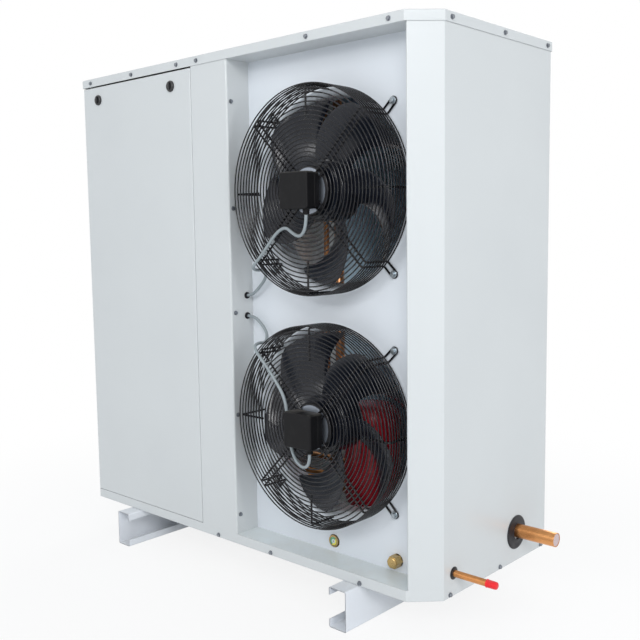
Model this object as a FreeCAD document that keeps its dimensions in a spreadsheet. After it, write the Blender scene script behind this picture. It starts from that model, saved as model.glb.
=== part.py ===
import FreeCAD, Part
import Sketcher
import math
import os
from FreeCAD import Placement, Rotation, Vector

# Outdoor refrigeration condensing unit with two front fans.
# Frame: +Z up, front faces -Y, pipe stubs leave on +X. The origin is the
# middle of the four anchor holes, on the ground under the feet.

os.makedirs("parts", exist_ok=True)
doc = FreeCAD.newDocument("CondensingUnit")
sheet = doc.addObject("Spreadsheet::Sheet", "Sizes")

driving = [
    ("anchor_spacing_x", 859, "anchor holes, left to right"),
    ("anchor_spacing_y", 598, "anchor holes, front to back"),
    ("anchor_hole_r", 7, "anchor hole radius"),
    ("left_overhang", 194, "left anchor hole to the cabinet's left side"),
    ("right_overhang", 227, "right anchor hole to the cabinet's right side"),
    ("cab_depth", 528, "cabinet, front to back"),
    ("cab_height", 1300, "cabinet without feet"),
    ("sheet_t", 1.5, "cabinet sheet"),
    ("tray_flange", 27, "upstand round the base tray"),
    ("lid_flange", 24, "drop flange of the top cover"),
    ("lid_proud", 2, "top cover stands out from the cabinet"),
    ("corner_x", 62, "cut corner at the front right, along X"),
    ("corner_y", 60, "cut corner at the front right, along Y"),
    ("recess_depth", 77, "fan plate behind the front face"),
    ("foot_height", 100, "foot channel height"),
    ("foot_width", 53, "foot channel flange"),
    ("foot_lip", 20, "foot channel lip"),
    ("foot_sheet", 2.5, "foot channel sheet"),
    ("foot_end", 12, "anchor hole to the end of the channel"),
    ("foot_hole_inset", 26, "anchor hole to the channel's web"),
    ("panel_width", 508, "access panel bay"),
    ("post_width", 144, "centre post front face"),
    ("panel_return", 20, "bent edge of the access panel"),
    ("panel_gap", 0.5, "gap beside the access panel"),
    ("panel_top_gap", 3, "gap over the access panel"),
    ("jamb_gap", 2, "panel edge to the jamb behind it"),
    ("jamb_flange", 20, "jamb width"),
    ("foam_t", 10, "foam behind the access panel"),
    ("foam_margin", 20, "bare edge round the foam"),
    ("foam_top_drop", 85, "bare strip over the foam, for the locks"),
    ("side_return", 25, "front edge of the left side panel"),
    ("rear_return", 52, "rear edge of the right side panel"),
    ("partition_inset", 10, "partition wall beside the post's left edge"),
    ("lock_inset_left", 78, "left lock to the cabinet's left side"),
    ("lock_inset_right", 83, "right lock to the post"),
    ("lock_drop", 39, "lock below the panel's top edge"),
    ("lock_r", 15, "lock head radius"),
    ("lock_t", 7, "lock head thickness"),
    ("lock_grip_t", 4, "raised grip on the lock head"),
    ("lock_grip_w", 7, "grip width"),
    ("lock_shaft_r", 5.5, "lock shaft radius"),
    ("cam_setback", 9, "cam behind the panel's face"),
    ("cam_t", 3, "cam thickness"),
    ("cam_width", 12, "cam width"),
    ("cam_length", 30, "cam reach"),
    ("running_gap", 0.05, "radial gap of a turning or sliding fit"),
    ("seat_gap", 0.3, "gap between curved faces at rest"),
    ("screw_washer_r", 6, "washer under a cabinet screw"),
    ("screw_washer_t", 1, "washer thickness"),
    ("screw_head_w", 8, "hexagon across flats"),
    ("screw_head_t", 4, "hexagon height"),
    ("screw_shank_r", 2.4, "screw shank radius"),
    ("screw_shank_l", 7, "screw shank length"),
    ("screw_clear", 0.1, "screw hole clearance"),
    ("lid_screw_drop", 13, "cover screw below the top"),
    ("base_screw_rise", 8, "base screw above the tray's underside"),
    ("recess_screw_y", 14, "recess screw behind the front face"),
    ("recess_screw_low", 79, "lowest recess screw"),
    ("recess_screw_pitch", 273, "between recess screws"),
    ("recess_screw_count", 5, "screws down the recess wall"),
    ("side_screw_front", 84, "front side screw behind the front face"),
    ("side_screw_middle", 301, "middle side screw behind the front face"),
    ("side_screw_back", 24, "rear side screw to the rear face"),
    ("lid_screw_a", 43, "first cover screw to the cabinet's left side"),
    ("lid_screw_b", 249, "second cover screw to the cabinet's left side"),
    ("lid_screw_c", 455, "third cover screw to the cabinet's left side"),
    ("lid_screw_d", 538, "cover screw over the centre post, to the left side"),
    ("lid_screw_e", 935, "fifth cover screw to the cabinet's left side"),
    ("lid_screw_f", 1178, "last cover screw to the cabinet's left side"),
    ("base_screw_a", 577, "base screw under the centre post, to the left side"),
    ("base_screw_b", 782, "second base screw to the cabinet's left side"),
    ("base_screw_c", 1082, "last base screw to the cabinet's left side"),
    ("rear_screw_left", 20, "rear screw to the cabinet's left side"),
    ("rear_screw_right", 14, "rear screw to the centre post's right edge"),
    ("rear_screw_end", 76, "end rear screws above and below the panel's edges"),
    ("rear_screw_rows", 4, "rear screws in a column"),
    ("fan_pitch", 570, "between fan centres"),
    ("fan_low_z", 362, "lower fan centre above the tray's underside"),
    ("bell_r", 245, "nozzle mouth radius at the plate"),
    ("throat_r", 228.5, "nozzle throat radius"),
    ("nozzle_depth", 62, "nozzle behind the plate"),
    ("guard_r", 248, "outer ring of the fan guard"),
    ("guard_proud", 12, "guard in front of the cabinet's face"),
    ("guard_inner_r", 70, "smallest guard ring"),
    ("guard_rings", 18, "rings on the guard's front"),
    ("guard_side_rings", 8, "rings on the guard's side"),
    ("ring_wire_r", 1.7, "guard ring wire radius"),
    ("spoke_wire_r", 2.6, "guard spoke wire radius"),
    ("spoke_pair_gap", 16, "between the wires of a double spoke"),
    ("guard_screw_offset", 196, "guard screw beside and over the fan centre"),
    ("guard_bend", 6, "bend radius of the guard spokes"),
    ("eye_r", 6.5, "guard eyelet radius to the wire's middle"),
    ("single_spoke_in", 165, "inner end of a single spoke"),
    ("guard_washer_r", 9, "washer on a guard eyelet"),
    ("guard_washer_t", 1.6, "washer thickness"),
    ("guard_bolt_w", 10, "guard screw across flats"),
    ("guard_bolt_t", 5, "guard screw head"),
    ("guard_bolt_r", 3, "guard screw shank radius"),
    ("motor_flange_r", 60, "motor flange radius"),
    ("motor_flange_t", 16, "motor flange thickness"),
    ("motor_neck_r", 34, "neck behind the motor flange"),
    ("motor_neck_t", 14, "neck length"),
    ("motor_shaft_r", 10, "motor shaft radius"),
    ("motor_shaft_l", 62, "shaft inside the rotor"),
    ("rotor_r", 70, "rotor can radius"),
    ("rotor_l", 92, "rotor can length"),
    ("rotor_wall", 8, "closed rear end of the rotor"),
    ("impeller_sleeve_t", 4, "sleeve that carries the blades"),
    ("impeller_sleeve_l", 70, "sleeve length"),
    ("impeller_setback", 12, "sleeve behind the rotor's front end"),
    ("blade_count", 5, "fan blades"),
    ("blade_tip_gap", 4, "blade tip to the nozzle throat"),
    ("blade_t", 3, "blade thickness"),
    ("blade_root_chord", 92, "blade width at the hub"),
    ("blade_tip_chord", 190, "blade width at the tip"),
    ("blade_root_pitch", 38, "blade angle at the hub, degrees"),
    ("blade_tip_pitch", 19, "blade angle at the tip, degrees"),
    ("blade_sweep", 34, "forward sweep of the blade, degrees"),
    ("blade_hook", 1.6, "power by which the sweep grows towards the tip"),
    ("blade_sections", 5, "sections from the hub to the tip"),
    ("upper_fan_rest", 67, "turn of the upper impeller at rest, degrees"),
    ("lower_fan_rest", 4, "turn of the lower impeller at rest, degrees"),
    ("box_w", 90, "terminal box width"),
    ("box_h", 87, "terminal box height"),
    ("box_t", 43, "terminal box depth"),
    ("box_round", 6, "terminal box edge radius"),
    ("gland_r", 9, "cable gland radius"),
    ("gland_l", 13, "cable gland length"),
    ("lead_r", 4, "fan lead radius"),
    ("lead_exit", 14, "last bend of a lead in front of its grommet"),
    ("lead_grommet_r", 9, "lead grommet radius"),
    ("lead_grommet_t", 5, "lead grommet outside the wall"),
    ("lead_grommet_lip", 2, "lead grommet over its hole"),
    ("lead_grommet_y", 55, "lead grommets behind the front face"),
    ("lead_grommet_low", 615, "lower lead grommet above the tray's underside"),
    ("lead_grommet_pitch", 54, "between the lead grommets"),
    ("suction_r", 17.5, "suction pipe radius"),
    ("suction_share", 0.716, "suction pipe behind the front face, share of the cabinet's depth"),
    ("suction_z", 81, "suction pipe above the tray's underside"),
    ("suction_stub", 111, "suction pipe outside the cabinet"),
    ("suction_wall", 1.6, "suction pipe wall"),
    ("suction_bore_l", 60, "open end of the suction pipe"),
    ("suction_plug_t", 3, "plate in the end of the suction pipe"),
    ("suction_riser", 78, "suction riser beside the partition, compressor side"),
    ("suction_bend", 38, "suction pipe bend radius"),
    ("grommet_r", 43, "suction grommet radius"),
    ("grommet_hole_r", 34, "hole for the suction grommet"),
    ("grommet_t", 6, "grommet lip thickness"),
    ("grommet_drop", 5, "grommet centre below the suction pipe"),
    ("liquid_r", 8, "liquid pipe radius"),
    ("liquid_y", 99, "liquid pipe behind the front face"),
    ("liquid_z", 55, "liquid pipe above the tray's underside"),
    ("liquid_bend", 24, "liquid pipe bend radius"),
    ("drier_stub", 26, "straight pipe at the drier's right end"),
    ("drier_return", 48, "liquid pipe past the drier's left end"),
    ("liquid_stub", 112, "liquid pipe outside the cabinet"),
    ("liquid_grommet_r", 15, "liquid grommet radius"),
    ("liquid_grommet_t", 3, "liquid grommet lip, over its hole and outside the wall"),
    ("cap_wall", 1.6, "red cap wall"),
    ("cap_length", 24, "red cap length"),
    ("cap_end_t", 2, "red cap end"),
    ("sight_r", 15, "sight glass boss radius"),
    ("sight_body_l", 56, "sight glass body length"),
    ("sight_proud", 4, "sight glass in front of the fan plate"),
    ("lens_r", 11.5, "sight glass lens radius"),
    ("lens_t", 3, "lens thickness"),
    ("plate_hole_clear", 2, "gap round what passes the fan plate"),
    ("valve_inset", 144, "service valve to the cabinet's right side"),
    ("valve_body_r", 13, "service valve body radius"),
    ("valve_body_l", 70, "service valve body length"),
    ("valve_cap_w", 28, "valve cap across flats"),
    ("valve_cap_l", 22, "valve cap in front of the fan plate"),
    ("valve_crown", 3, "round crown of the valve cap"),
    ("valve_neck", 2, "valve neck smaller than its body"),
    ("drier_r", 38, "filter drier radius"),
    ("drier_l", 130, "filter drier straight length"),
    ("drier_cone", 22, "filter drier end cone"),
    ("drier_y", 145, "filter drier behind the front face"),
    ("drier_left", 100, "filter drier's left end beside the partition"),
    ("braze_wall", 3, "wall of a brazed end round its pipe"),
    ("receiver_x", 386, "receiver beside the partition"),
    ("receiver_share", 0.79,
     "share of the free depth before the suction pipe that is in front of the receiver"),
    ("receiver_r", 76, "receiver radius"),
    ("receiver_h", 290, "receiver height"),
    ("receiver_dome", 42, "rounding of the receiver's ends"),
    ("receiver_foot_r", 56, "receiver foot ring radius"),
    ("receiver_foot_h", 86, "receiver foot height"),
    ("receiver_foot_t", 3, "receiver foot plate"),
    ("receiver_neck_r", 32, "neck between the receiver and its foot"),
    ("receiver_out_z", 150, "receiver outlet above the tray's underside"),
    ("receiver_in_z", 200, "receiver inlet above the tray's underside"),
    ("coil_left_gap", 130, "coil beside the partition"),
    ("coil_right_gap", 57, "coil to the cabinet's right side"),
    ("coil_t", 60, "coil depth"),
    ("coil_back_gap", 12, "coil to the rear face"),
    ("coil_foot", 10, "fins above the tray floor"),
    ("coil_top_gap", 30, "fins below the cover"),
    ("coil_flange", 14, "rear flange of the coil's end plates"),
    ("end_plate_over", 8, "end plates over the fins' upper end"),
    ("tube_r", 4.8, "coil tube radius"),
    ("tube_pitch", 52, "between coil tubes"),
    ("tube_count", 24, "tubes in a row"),
    ("tube_groups", 4, "circuits"),
    ("row_pitch", 26, "between the two tube rows"),
    ("tube_start", 26, "lowest tube above the fins' lower end"),
    ("tube_clear", 0.05, "tube in its hole"),
    ("tube_out", 8, "straight tube outside the end plate"),
    ("gas_header_r", 14, "gas header radius"),
    ("gas_header_out", 58, "gas header beside the coil"),
    ("liquid_header_r", 8, "liquid header radius"),
    ("liquid_header_out", 86, "liquid header beside the coil"),
    ("header_end", 20, "header past its last tube"),
    ("mesh_wire_r", 1.3, "coil guard wire radius"),
    ("mesh_pitch", 48, "between the coil guard's upright wires"),
    ("mesh_rows", 9, "cross wires of the coil guard"),
    ("mesh_edge", 16, "cross wire to the end of the upright wires"),
    ("discharge_r", 9.5, "discharge pipe radius"),
    ("discharge_z", 460, "discharge pipe through the partition"),
    ("discharge_ahead", 110, "discharge pipe in front of the compressor's centre"),
    ("discharge_x", 127, "discharge riser beside the partition"),
    ("discharge_top", 1150, "discharge pipe into the gas header"),
    ("discharge_bend", 38, "discharge pipe bend radius"),
    ("discharge_lead_in", 60, "level run of the discharge pipe before the header"),
    ("discharge_port_turn", 40, "discharge port on the shell, degrees from +X to the front"),
    ("pipe_clear", 5, "gap round a pipe through the partition"),
    ("comp_x", 230, "compressor centre to the cabinet's left side"),
    ("comp_share", 0.568, "compressor centre behind the front face, share of the cabinet's depth"),
    ("comp_r", 108, "compressor shell radius"),
    ("comp_h", 500, "compressor shell height"),
    ("comp_dome", 55, "rounding of the shell's ends"),
    ("comp_foot_pitch", 190.5, "compressor bolts"),
    ("comp_foot_w", 226, "compressor base plate"),
    ("comp_foot_t", 5, "base plate thickness"),
    ("mount_r", 17, "rubber mount radius"),
    ("mount_h", 26, "rubber mount height"),
    ("mount_bolt_r", 5, "mount bolt radius"),
    ("mount_bolt_w", 16, "mount bolt across flats"),
    ("mount_bolt_t", 8, "mount bolt head"),
    ("comp_suction_z", 330, "suction port above the tray's underside"),
    ("comp_box_w", 100, "compressor terminal cover width"),
    ("comp_box_h", 120, "compressor terminal cover height"),
    ("comp_box_t", 40, "compressor terminal cover depth"),
    ("comp_box_z", 300, "terminal cover above the tray's underside"),
    ("ebox_w", 180, "electrical box width"),
    ("ebox_t", 130, "electrical box depth"),
    ("ebox_h", 420, "electrical box height"),
    ("ebox_z", 760, "electrical box above the tray's underside"),
    ("ebox_y", 50, "electrical box behind the front face"),
    ("ebox_lap", 6, "electrical cover over the box"),
    ("tie_t", 1, "cable tie strap thickness"),
    ("tie_w", 3, "cable tie width"),
    ("tie_gap", 0.3, "inside of a cable tie to what it holds"),
    ("tie_head", 6, "cable tie head"),
]
for row, (alias, value, note) in enumerate(driving, start=1):
    sheet.set(f"A{row}", note)
    sheet.set(f"B{row}", str(value))
    sheet.setAlias(f"B{row}", alias)
doc.recompute()


def num(expression):
    """Value of an expression over the sheet."""
    return float(sheet.evalExpression(expression))


def size(alias):
    """Value of one cell of the sheet."""
    return float(sheet.get(alias))


# Places that several pieces share, written over the sheet's cells.
left = "(-Sizes.anchor_spacing_x / 2 - Sizes.left_overhang)"
right = "(Sizes.anchor_spacing_x / 2 + Sizes.right_overhang)"
front = "(-Sizes.cab_depth / 2)"
back = "(Sizes.cab_depth / 2)"
base = "Sizes.foot_height"
top = "(Sizes.foot_height + Sizes.cab_height)"
thick = "Sizes.sheet_t"
floor = f"({base} + {thick})"
ledge = f"({base} + Sizes.tray_flange)"
under_lid = f"({top} - {thick})"
post_left = f"({left} + Sizes.panel_width)"
post_right = f"({post_left} + Sizes.post_width)"
recess_right = f"({right} - Sizes.corner_x)"
fan_face = f"({front} + Sizes.recess_depth)"
partition_x = f"({post_left} + Sizes.partition_inset)"
partition_right = f"({partition_x} + {thick})"
slant = "sqrt(Sizes.corner_x^2 + Sizes.corner_y^2)"
suction_y = f"({front} + Sizes.suction_share * Sizes.cab_depth)"
comp_y = f"({front} + Sizes.comp_share * Sizes.cab_depth)"
discharge_y = f"({comp_y} - Sizes.discharge_ahead)"
axis_turn = {
    "x": Rotation(Vector(0, 1, 0), 90),
    "y": Rotation(Vector(1, 0, 0), -90),
    "z": Rotation(),
}
axis_vector = {"x": Vector(1, 0, 0), "y": Vector(0, 1, 0), "z": Vector(0, 0, 1)}
nodes = []


def keep(thing, label):
    """Marks an object as a finished sub-part of the unit."""
    thing.Label = label
    nodes.append(thing)
    return thing


def place(thing, x, y, z):
    """Ties an object's place to the sheet."""
    thing.setExpression("Placement.Base.x", x)
    thing.setExpression("Placement.Base.y", y)
    thing.setExpression("Placement.Base.z", z)


def block(name, x, y, z, length, width, height):
    """Box from its lower corner and its three sizes."""
    box = doc.addObject("Part::Box", name)
    box.setExpression("Length", length)
    box.setExpression("Width", width)
    box.setExpression("Height", height)
    place(box, x, y, z)
    return box


def rod(name, axis, x, y, z, radius, length):
    """Cylinder that starts at a point and runs along an axis."""
    cylinder = doc.addObject("Part::Cylinder", name)
    cylinder.Placement = Placement(Vector(), axis_turn[axis])
    cylinder.setExpression("Radius", radius)
    cylinder.setExpression("Height", length)
    place(cylinder, x, y, z)
    return cylinder


def joined(name, parts):
    fusion = doc.addObject("Part::MultiFuse", name)
    fusion.Shapes = parts
    return fusion


def grouped(name, parts):
    bundle = doc.addObject("Part::Compound", name)
    bundle.Links = parts
    return bundle


def without(name, solid, tools):
    """A solid with other solids taken out of it."""
    result = doc.addObject("Part::Cut", name)
    result.Base = solid
    result.Tool = tools[0] if len(tools) == 1 else joined(name + "_tools", tools)
    return result


def shaped(name, shape, spot=Vector()):
    """Piece whose form comes straight from a computed shape, moved to a spot."""
    feature = doc.addObject("Part::Feature", name)
    feature.Shape = shape
    feature.Placement = Placement(spot, Rotation())
    return feature


def outline(body, name, role, corners):
    """Closed outline whose corners are each tied to the sheet."""
    sketch = body.newObject("Sketcher::SketchObject", name)
    plane = [item for item in body.Origin.OriginFeatures if item.Role == role][0]
    sketch.AttachmentSupport = [(plane, "")]
    sketch.MapMode = "FlatFace"
    spots = [Vector(num(u), num(v), 0) for u, v in corners]
    count = len(spots)
    for i, spot in enumerate(spots):
        sketch.addGeometry(Part.LineSegment(spot, spots[(i + 1) % count]), False)
    for i in range(count):
        sketch.addConstraint(Sketcher.Constraint("Coincident", i, 2, (i + 1) % count, 1))
    for i, (u, v) in enumerate(corners):
        across = sketch.addConstraint(Sketcher.Constraint("DistanceX", -1, 1, i, 1, spots[i].x))
        up = sketch.addConstraint(Sketcher.Constraint("DistanceY", -1, 1, i, 1, spots[i].y))
        sketch.setExpression(f"Constraints[{across}]", u)
        sketch.setExpression(f"Constraints[{up}]", v)
    return sketch


def prism(name, role, corners, start, length):
    """Body made by padding an outline from a start along +X, +Y or +Z."""
    body = doc.addObject("PartDesign::Body", name)
    sketch = outline(body, name + "_outline", role, corners)
    pad = body.newObject("PartDesign::Pad", name + "_pad")
    pad.Profile = sketch
    pad.setExpression("Length", length)
    pad.Reversed = role == "XZ_Plane"
    move = {"XY_Plane": "z", "XZ_Plane": "y", "YZ_Plane": "x"}[role]
    body.setExpression(f"Placement.Base.{move}", start)
    return body


def hollow(body, name, role, corners, depth, from_far_end):
    """Pocket cut into a padded body from its near or far face."""
    pad = body.Tip
    doc.recompute()
    before = pad.Shape.Volume
    sketch = outline(body, name + "_outline", role, corners)
    forward = not (role == "XZ_Plane")
    if from_far_end:
        sketch.setExpression("AttachmentOffset.Base.z",
                             f"{pad.Name}.Length" if forward else f"-{pad.Name}.Length")
    pocket = body.newObject("PartDesign::Pocket", name)
    pocket.Profile = sketch
    pocket.setExpression("Length", depth)
    pocket.Reversed = forward != from_far_end
    doc.recompute()
    if not pocket.Shape.Volume < before:
        raise RuntimeError(f"{name} cuts nothing")
    return body


def turned(name, axis, x, y, z, profile):
    """Body of revolution: (along, radius) corners, turned about an axis."""
    body = doc.addObject("PartDesign::Body", name)
    sketch = outline(body, name + "_outline", "XZ_Plane", [(r, a) for a, r in profile])
    spin = body.newObject("PartDesign::Revolution", name + "_turn")
    spin.Profile = sketch
    spin.ReferenceAxis = (sketch, ["V_Axis"])
    spin.Angle = 360
    body.Placement = Placement(Vector(), axis_turn[axis])
    place(body, x, y, z)
    return body


def rounded_path(points, bend=None):
    """Straight runs joined by tangent arcs; without a bend radius each arc
    is as large as its two runs allow."""
    edges = []
    radii = []
    start = points[0]
    for before, corner, after in zip(points, points[1:], points[2:]):
        come = before - corner
        leave = after - corner
        room = 0.45 * min(come.Length, leave.Length)
        come.normalize()
        leave.normalize()
        half_turn = (math.pi - come.getAngle(leave)) / 2
        reach = room if bend is None else min(room, bend * math.tan(half_turn))
        radius = reach / math.tan(half_turn)
        radii.append(radius)
        inward = come + leave
        inward.normalize()
        centre = corner + inward * math.hypot(radius, reach)
        first = corner + come * reach
        last = corner + leave * reach
        edges.append(Part.LineSegment(start, first).toShape())
        edges.append(Part.Arc(first, centre - inward * radius, last).toShape())
        start = last
    edges.append(Part.LineSegment(start, points[-1]).toShape())
    return Part.Wire(edges), radii


def pipe(points, radius, bend=None):
    """Round bar along a path."""
    path, radii = rounded_path(points, bend)
    ring = Part.Wire([Part.makeCircle(radius, points[0], points[1] - points[0])])
    solid = path.makePipeShell([ring], True, False)
    expected = math.pi * radius ** 2 * path.Length
    if abs(solid.Volume - expected) > 0.01 * expected:
        raise RuntimeError("a pipe's volume differs from section times length")
    return solid, radii


def corner_loop(inset):
    """Cabinet outline with its cut corner, moved inward by an inset."""
    return [
        (f"{left} + {inset}", f"{front} + {inset}"),
        (f"{recess_right} - ({inset}) * ({slant} - Sizes.corner_x) / Sizes.corner_y", f"{front} + {inset}"),
        (f"{right} - ({inset})",
         f"{front} + Sizes.corner_y + ({inset}) * ({slant} - Sizes.corner_y) / Sizes.corner_x"),
        (f"{right} - ({inset})", f"{back} - ({inset})"),
        (f"{left} + {inset}", f"{back} - ({inset})"),
    ]


def hexagon(width, height, centre, axis):
    """Hexagonal bar of a width across flats."""
    radius = width / math.sqrt(3)
    spots = [Vector(radius * math.cos(math.radians(60 * i)), radius * math.sin(math.radians(60 * i)), 0)
             for i in range(7)]
    solid = Part.Face(Part.makePolygon(spots)).extrude(Vector(0, 0, height))
    solid.Placement = Placement(centre, Rotation(Vector(0, 0, 1), axis))
    return solid


# Screws: each group is a list of (point on the outer face, direction out).

def screw_sites():
    """Where the cabinet screws sit, group by group."""
    lid_face_y = num(front) - size("lid_proud")
    lid_face_x = num(right) + size("lid_proud")
    lid_z = num(top) - size("lid_screw_drop")
    base_z = num(base) + size("base_screw_rise")
    ahead = Vector(0, -1, 0)
    aside = Vector(1, 0, 0)
    away = Vector(-1, 0, 0)
    behind = Vector(0, 1, 0)
    lid_x = [num(left) + size(f"lid_screw_{letter}") for letter in "abcdef"]
    base_x = [num(left) + size(f"base_screw_{letter}") for letter in "abc"]
    side_y = [num(front) + size("side_screw_front"), num(front) + size("side_screw_middle"),
              num(back) - size("side_screw_back")]
    lid = [(Vector(x, lid_face_y, lid_z), ahead) for x in lid_x]
    lid += [(Vector(lid_face_x, y, lid_z), aside) for y in side_y]
    lid += [(Vector(num(left) - size("lid_proud"), y, lid_z), away) for y in side_y]
    tray = [(Vector(x, num(front), base_z), ahead) for x in base_x]
    tray += [(Vector(num(right), y, base_z), aside) for y in side_y]
    tray += [(Vector(num(left), y, base_z), away) for y in side_y]
    recess = [(Vector(num(post_right), num(front) + size("recess_screw_y"),
                      num(base) + size("recess_screw_low") + i * size("recess_screw_pitch")), aside)
              for i in range(int(size("recess_screw_count")))]
    rows = int(size("rear_screw_rows"))
    low_z = num(ledge) + size("rear_screw_end")
    step = (num(top) - size("rear_screw_end") - low_z) / (rows - 1)
    rear = [(Vector(x, num(back), low_z + i * step), behind) for i in range(rows)
            for x in (num(left) + size("rear_screw_left"), num(post_right) - size("rear_screw_right"))]
    return {"lid": lid, "tray": tray, "recess": recess, "rear": rear}


sites = screw_sites()


def screw(site, length):
    """Hexagon head screw with its washer, at a site."""
    point, away = site
    washer = Part.makeCylinder(size("screw_washer_r"), size("screw_washer_t"), point, away)
    head = hexagon(size("screw_head_w"), size("screw_head_t"), point + away * size("screw_washer_t"), away)
    shank = Part.makeCylinder(size("screw_shank_r"), length, point, away * -1)
    return washer.fuse([head, shank]).removeSplitter()


def screw_holes(name, group):
    """Holes for the shanks of a group of screws."""
    reach = 3 * size("screw_shank_l")
    radius = size("screw_shank_r") + size("screw_clear")
    holes = [Part.makeCylinder(radius, 2 * reach, point + away * reach, away * -1)
             for point, away in sites[group]]
    return shaped(name, Part.makeCompound(holes))


def base_tray():
    body = prism("Tray", "XY_Plane", corner_loop("0"), base, "Sizes.tray_flange")
    hollow(body, "TrayWell", "XY_Plane", corner_loop(thick), f"Sizes.tray_flange - {thick}", True)
    shelf = block("TrayShelf", f"{post_right} - {thick}", f"{front} + {thick}", f"{ledge} - {thick}",
                  f"{recess_right} + {thick} - {post_right} + {thick}", "Sizes.recess_depth", thick)
    whole = joined("TrayWhole", [body, shelf])
    keep(without("TrayDrilled", whole, [screw_holes("TrayHoles", "tray")]), "base_tray")


def foot_channel(label, side):
    """Lipped channel under the tray, open towards the middle."""
    web = f"({side} * (-Sizes.anchor_spacing_x / 2 - Sizes.foot_hole_inset))"
    steel = "Sizes.foot_sheet"
    wide = "Sizes.foot_width"
    tall = "Sizes.foot_height"
    lip = "Sizes.foot_lip"
    profile = [
        ("0", "0"), (wide, "0"), (wide, lip), (f"{wide} - {steel}", lip), (f"{wide} - {steel}", steel),
        (steel, steel), (steel, f"{tall} - {steel}"), (f"{wide} - {steel}", f"{tall} - {steel}"),
        (f"{wide} - {steel}", f"{tall} - {lip}"), (wide, f"{tall} - {lip}"), (wide, tall), ("0", tall),
    ]
    corners = [(f"{web} + {side} * ({u})", v) for u, v in profile]
    end = "(Sizes.anchor_spacing_y / 2 + Sizes.foot_end)"
    body = prism(label + "_profile", "XZ_Plane", corners, f"-{end}", f"2 * {end}")
    holes = [rod(f"{label}_hole{i}", "z", f"{-side} * Sizes.anchor_spacing_x / 2",
                 f"{s} * Sizes.anchor_spacing_y / 2", f"-{steel}", "Sizes.anchor_hole_r", f"3 * {steel}")
             for i, s in enumerate((-1, 1))]
    keep(without(label + "_drilled", body, holes), label)


def top_cover():
    body = prism("Lid", "XY_Plane", corner_loop("-Sizes.lid_proud"), f"{top} - Sizes.lid_flange",
                 "Sizes.lid_flange")
    hollow(body, "LidWell", "XY_Plane", corner_loop(f"{thick} - Sizes.lid_proud"),
           f"Sizes.lid_flange - {thick}", False)
    keep(without("LidDrilled", body, [screw_holes("LidHoles", "lid")]), "top_cover")


def recess_ceiling():
    keep(block("Ceiling", post_right, f"{front} - Sizes.lid_proud + {thick}", f"{top} - Sizes.lid_flange",
               f"{recess_right} - {post_right}", f"Sizes.recess_depth + Sizes.lid_proud - {thick}", thick),
         "recess_ceiling")


def centre_post():
    jamb = f"({front} + Sizes.panel_return + Sizes.jamb_gap)"
    corners = [
        (f"{post_left} - Sizes.jamb_flange", jamb), (post_left, jamb), (post_left, front),
        (post_right, front), (post_right, fan_face), (f"{post_right} - {thick}", fan_face),
        (f"{post_right} - {thick}", f"{front} + {thick}"),
        (f"{post_left} + {thick}", f"{front} + {thick}"), (f"{post_left} + {thick}", f"{jamb} + {thick}"),
        (f"{post_left} - Sizes.jamb_flange", f"{jamb} + {thick}"),
    ]
    body = prism("Post", "XY_Plane", corners, ledge, f"{under_lid} - {ledge}")
    grommets = [rod(f"PostGrommetHole{i}", "x",
                    f"{post_right} - 2 * {thick}", f"{front} + Sizes.lead_grommet_y",
                    f"{base} + Sizes.lead_grommet_low + {i} * Sizes.lead_grommet_pitch",
                    "Sizes.lead_grommet_r - Sizes.lead_grommet_lip", f"3 * {thick}") for i in range(2)]
    tools = grommets + [screw_holes("PostRecessHoles", "recess"), screw_holes("PostLidHoles", "lid")]
    keep(without("PostDrilled", body, tools), "centre_post")


def left_side_panel():
    start = f"({front} + Sizes.panel_return + Sizes.jamb_gap)"
    corners = [
        (left, start), (f"{left} + Sizes.side_return", start),
        (f"{left} + Sizes.side_return", f"{start} + {thick}"),
        (f"{left} + {thick}", f"{start} + {thick}"), (f"{left} + {thick}", back), (left, back),
    ]
    body = prism("LeftSide", "XY_Plane", corners, ledge, f"{under_lid} - {ledge}")
    keep(without("LeftSideDrilled", body, [screw_holes("LeftSideHoles", "lid")]), "left_side_panel")


def right_side_panel():
    corners = [
        (recess_right, fan_face), (recess_right, front), (right, f"{front} + Sizes.corner_y"), (right, back),
        (f"{right} - Sizes.rear_return", back), (f"{right} - Sizes.rear_return", f"{back} - {thick}"),
        (f"{right} - {thick}", f"{back} - {thick}"),
        (f"{right} - {thick}",
         f"{front} + Sizes.corner_y + {thick} * ({slant} - Sizes.corner_y) / Sizes.corner_x"),
        (f"{recess_right} + {thick}", f"{front} + {thick} * ({slant} + Sizes.corner_y) / Sizes.corner_x"),
        (f"{recess_right} + {thick}", fan_face),
    ]
    body = prism("RightSide", "XY_Plane", corners, ledge, f"{under_lid} - {ledge}")
    suction = rod("SuctionHole", "x", f"{right} - 2 * {thick}", suction_y,
                  f"{base} + Sizes.suction_z - Sizes.grommet_drop", "Sizes.grommet_hole_r", f"4 * {thick}")
    liquid = rod("LiquidHole", "x", f"{right} - 2 * {thick}", f"{front} + Sizes.liquid_y",
                 f"{base} + Sizes.liquid_z", "Sizes.liquid_grommet_r - Sizes.liquid_grommet_t",
                 f"4 * {thick}")
    tools = [suction, liquid, screw_holes("RightSideHoles", "lid")]
    keep(without("RightSideDrilled", body, tools), "right_side_panel")


def rear_panel():
    body = block("Rear", f"{left} + {thick}", f"{back} - {thick}", ledge,
                 f"{post_right} - {left} - {thick}", thick, f"{under_lid} - {ledge}")
    keep(without("RearDrilled", body, [screw_holes("RearHoles", "rear")]), "rear_panel")


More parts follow.
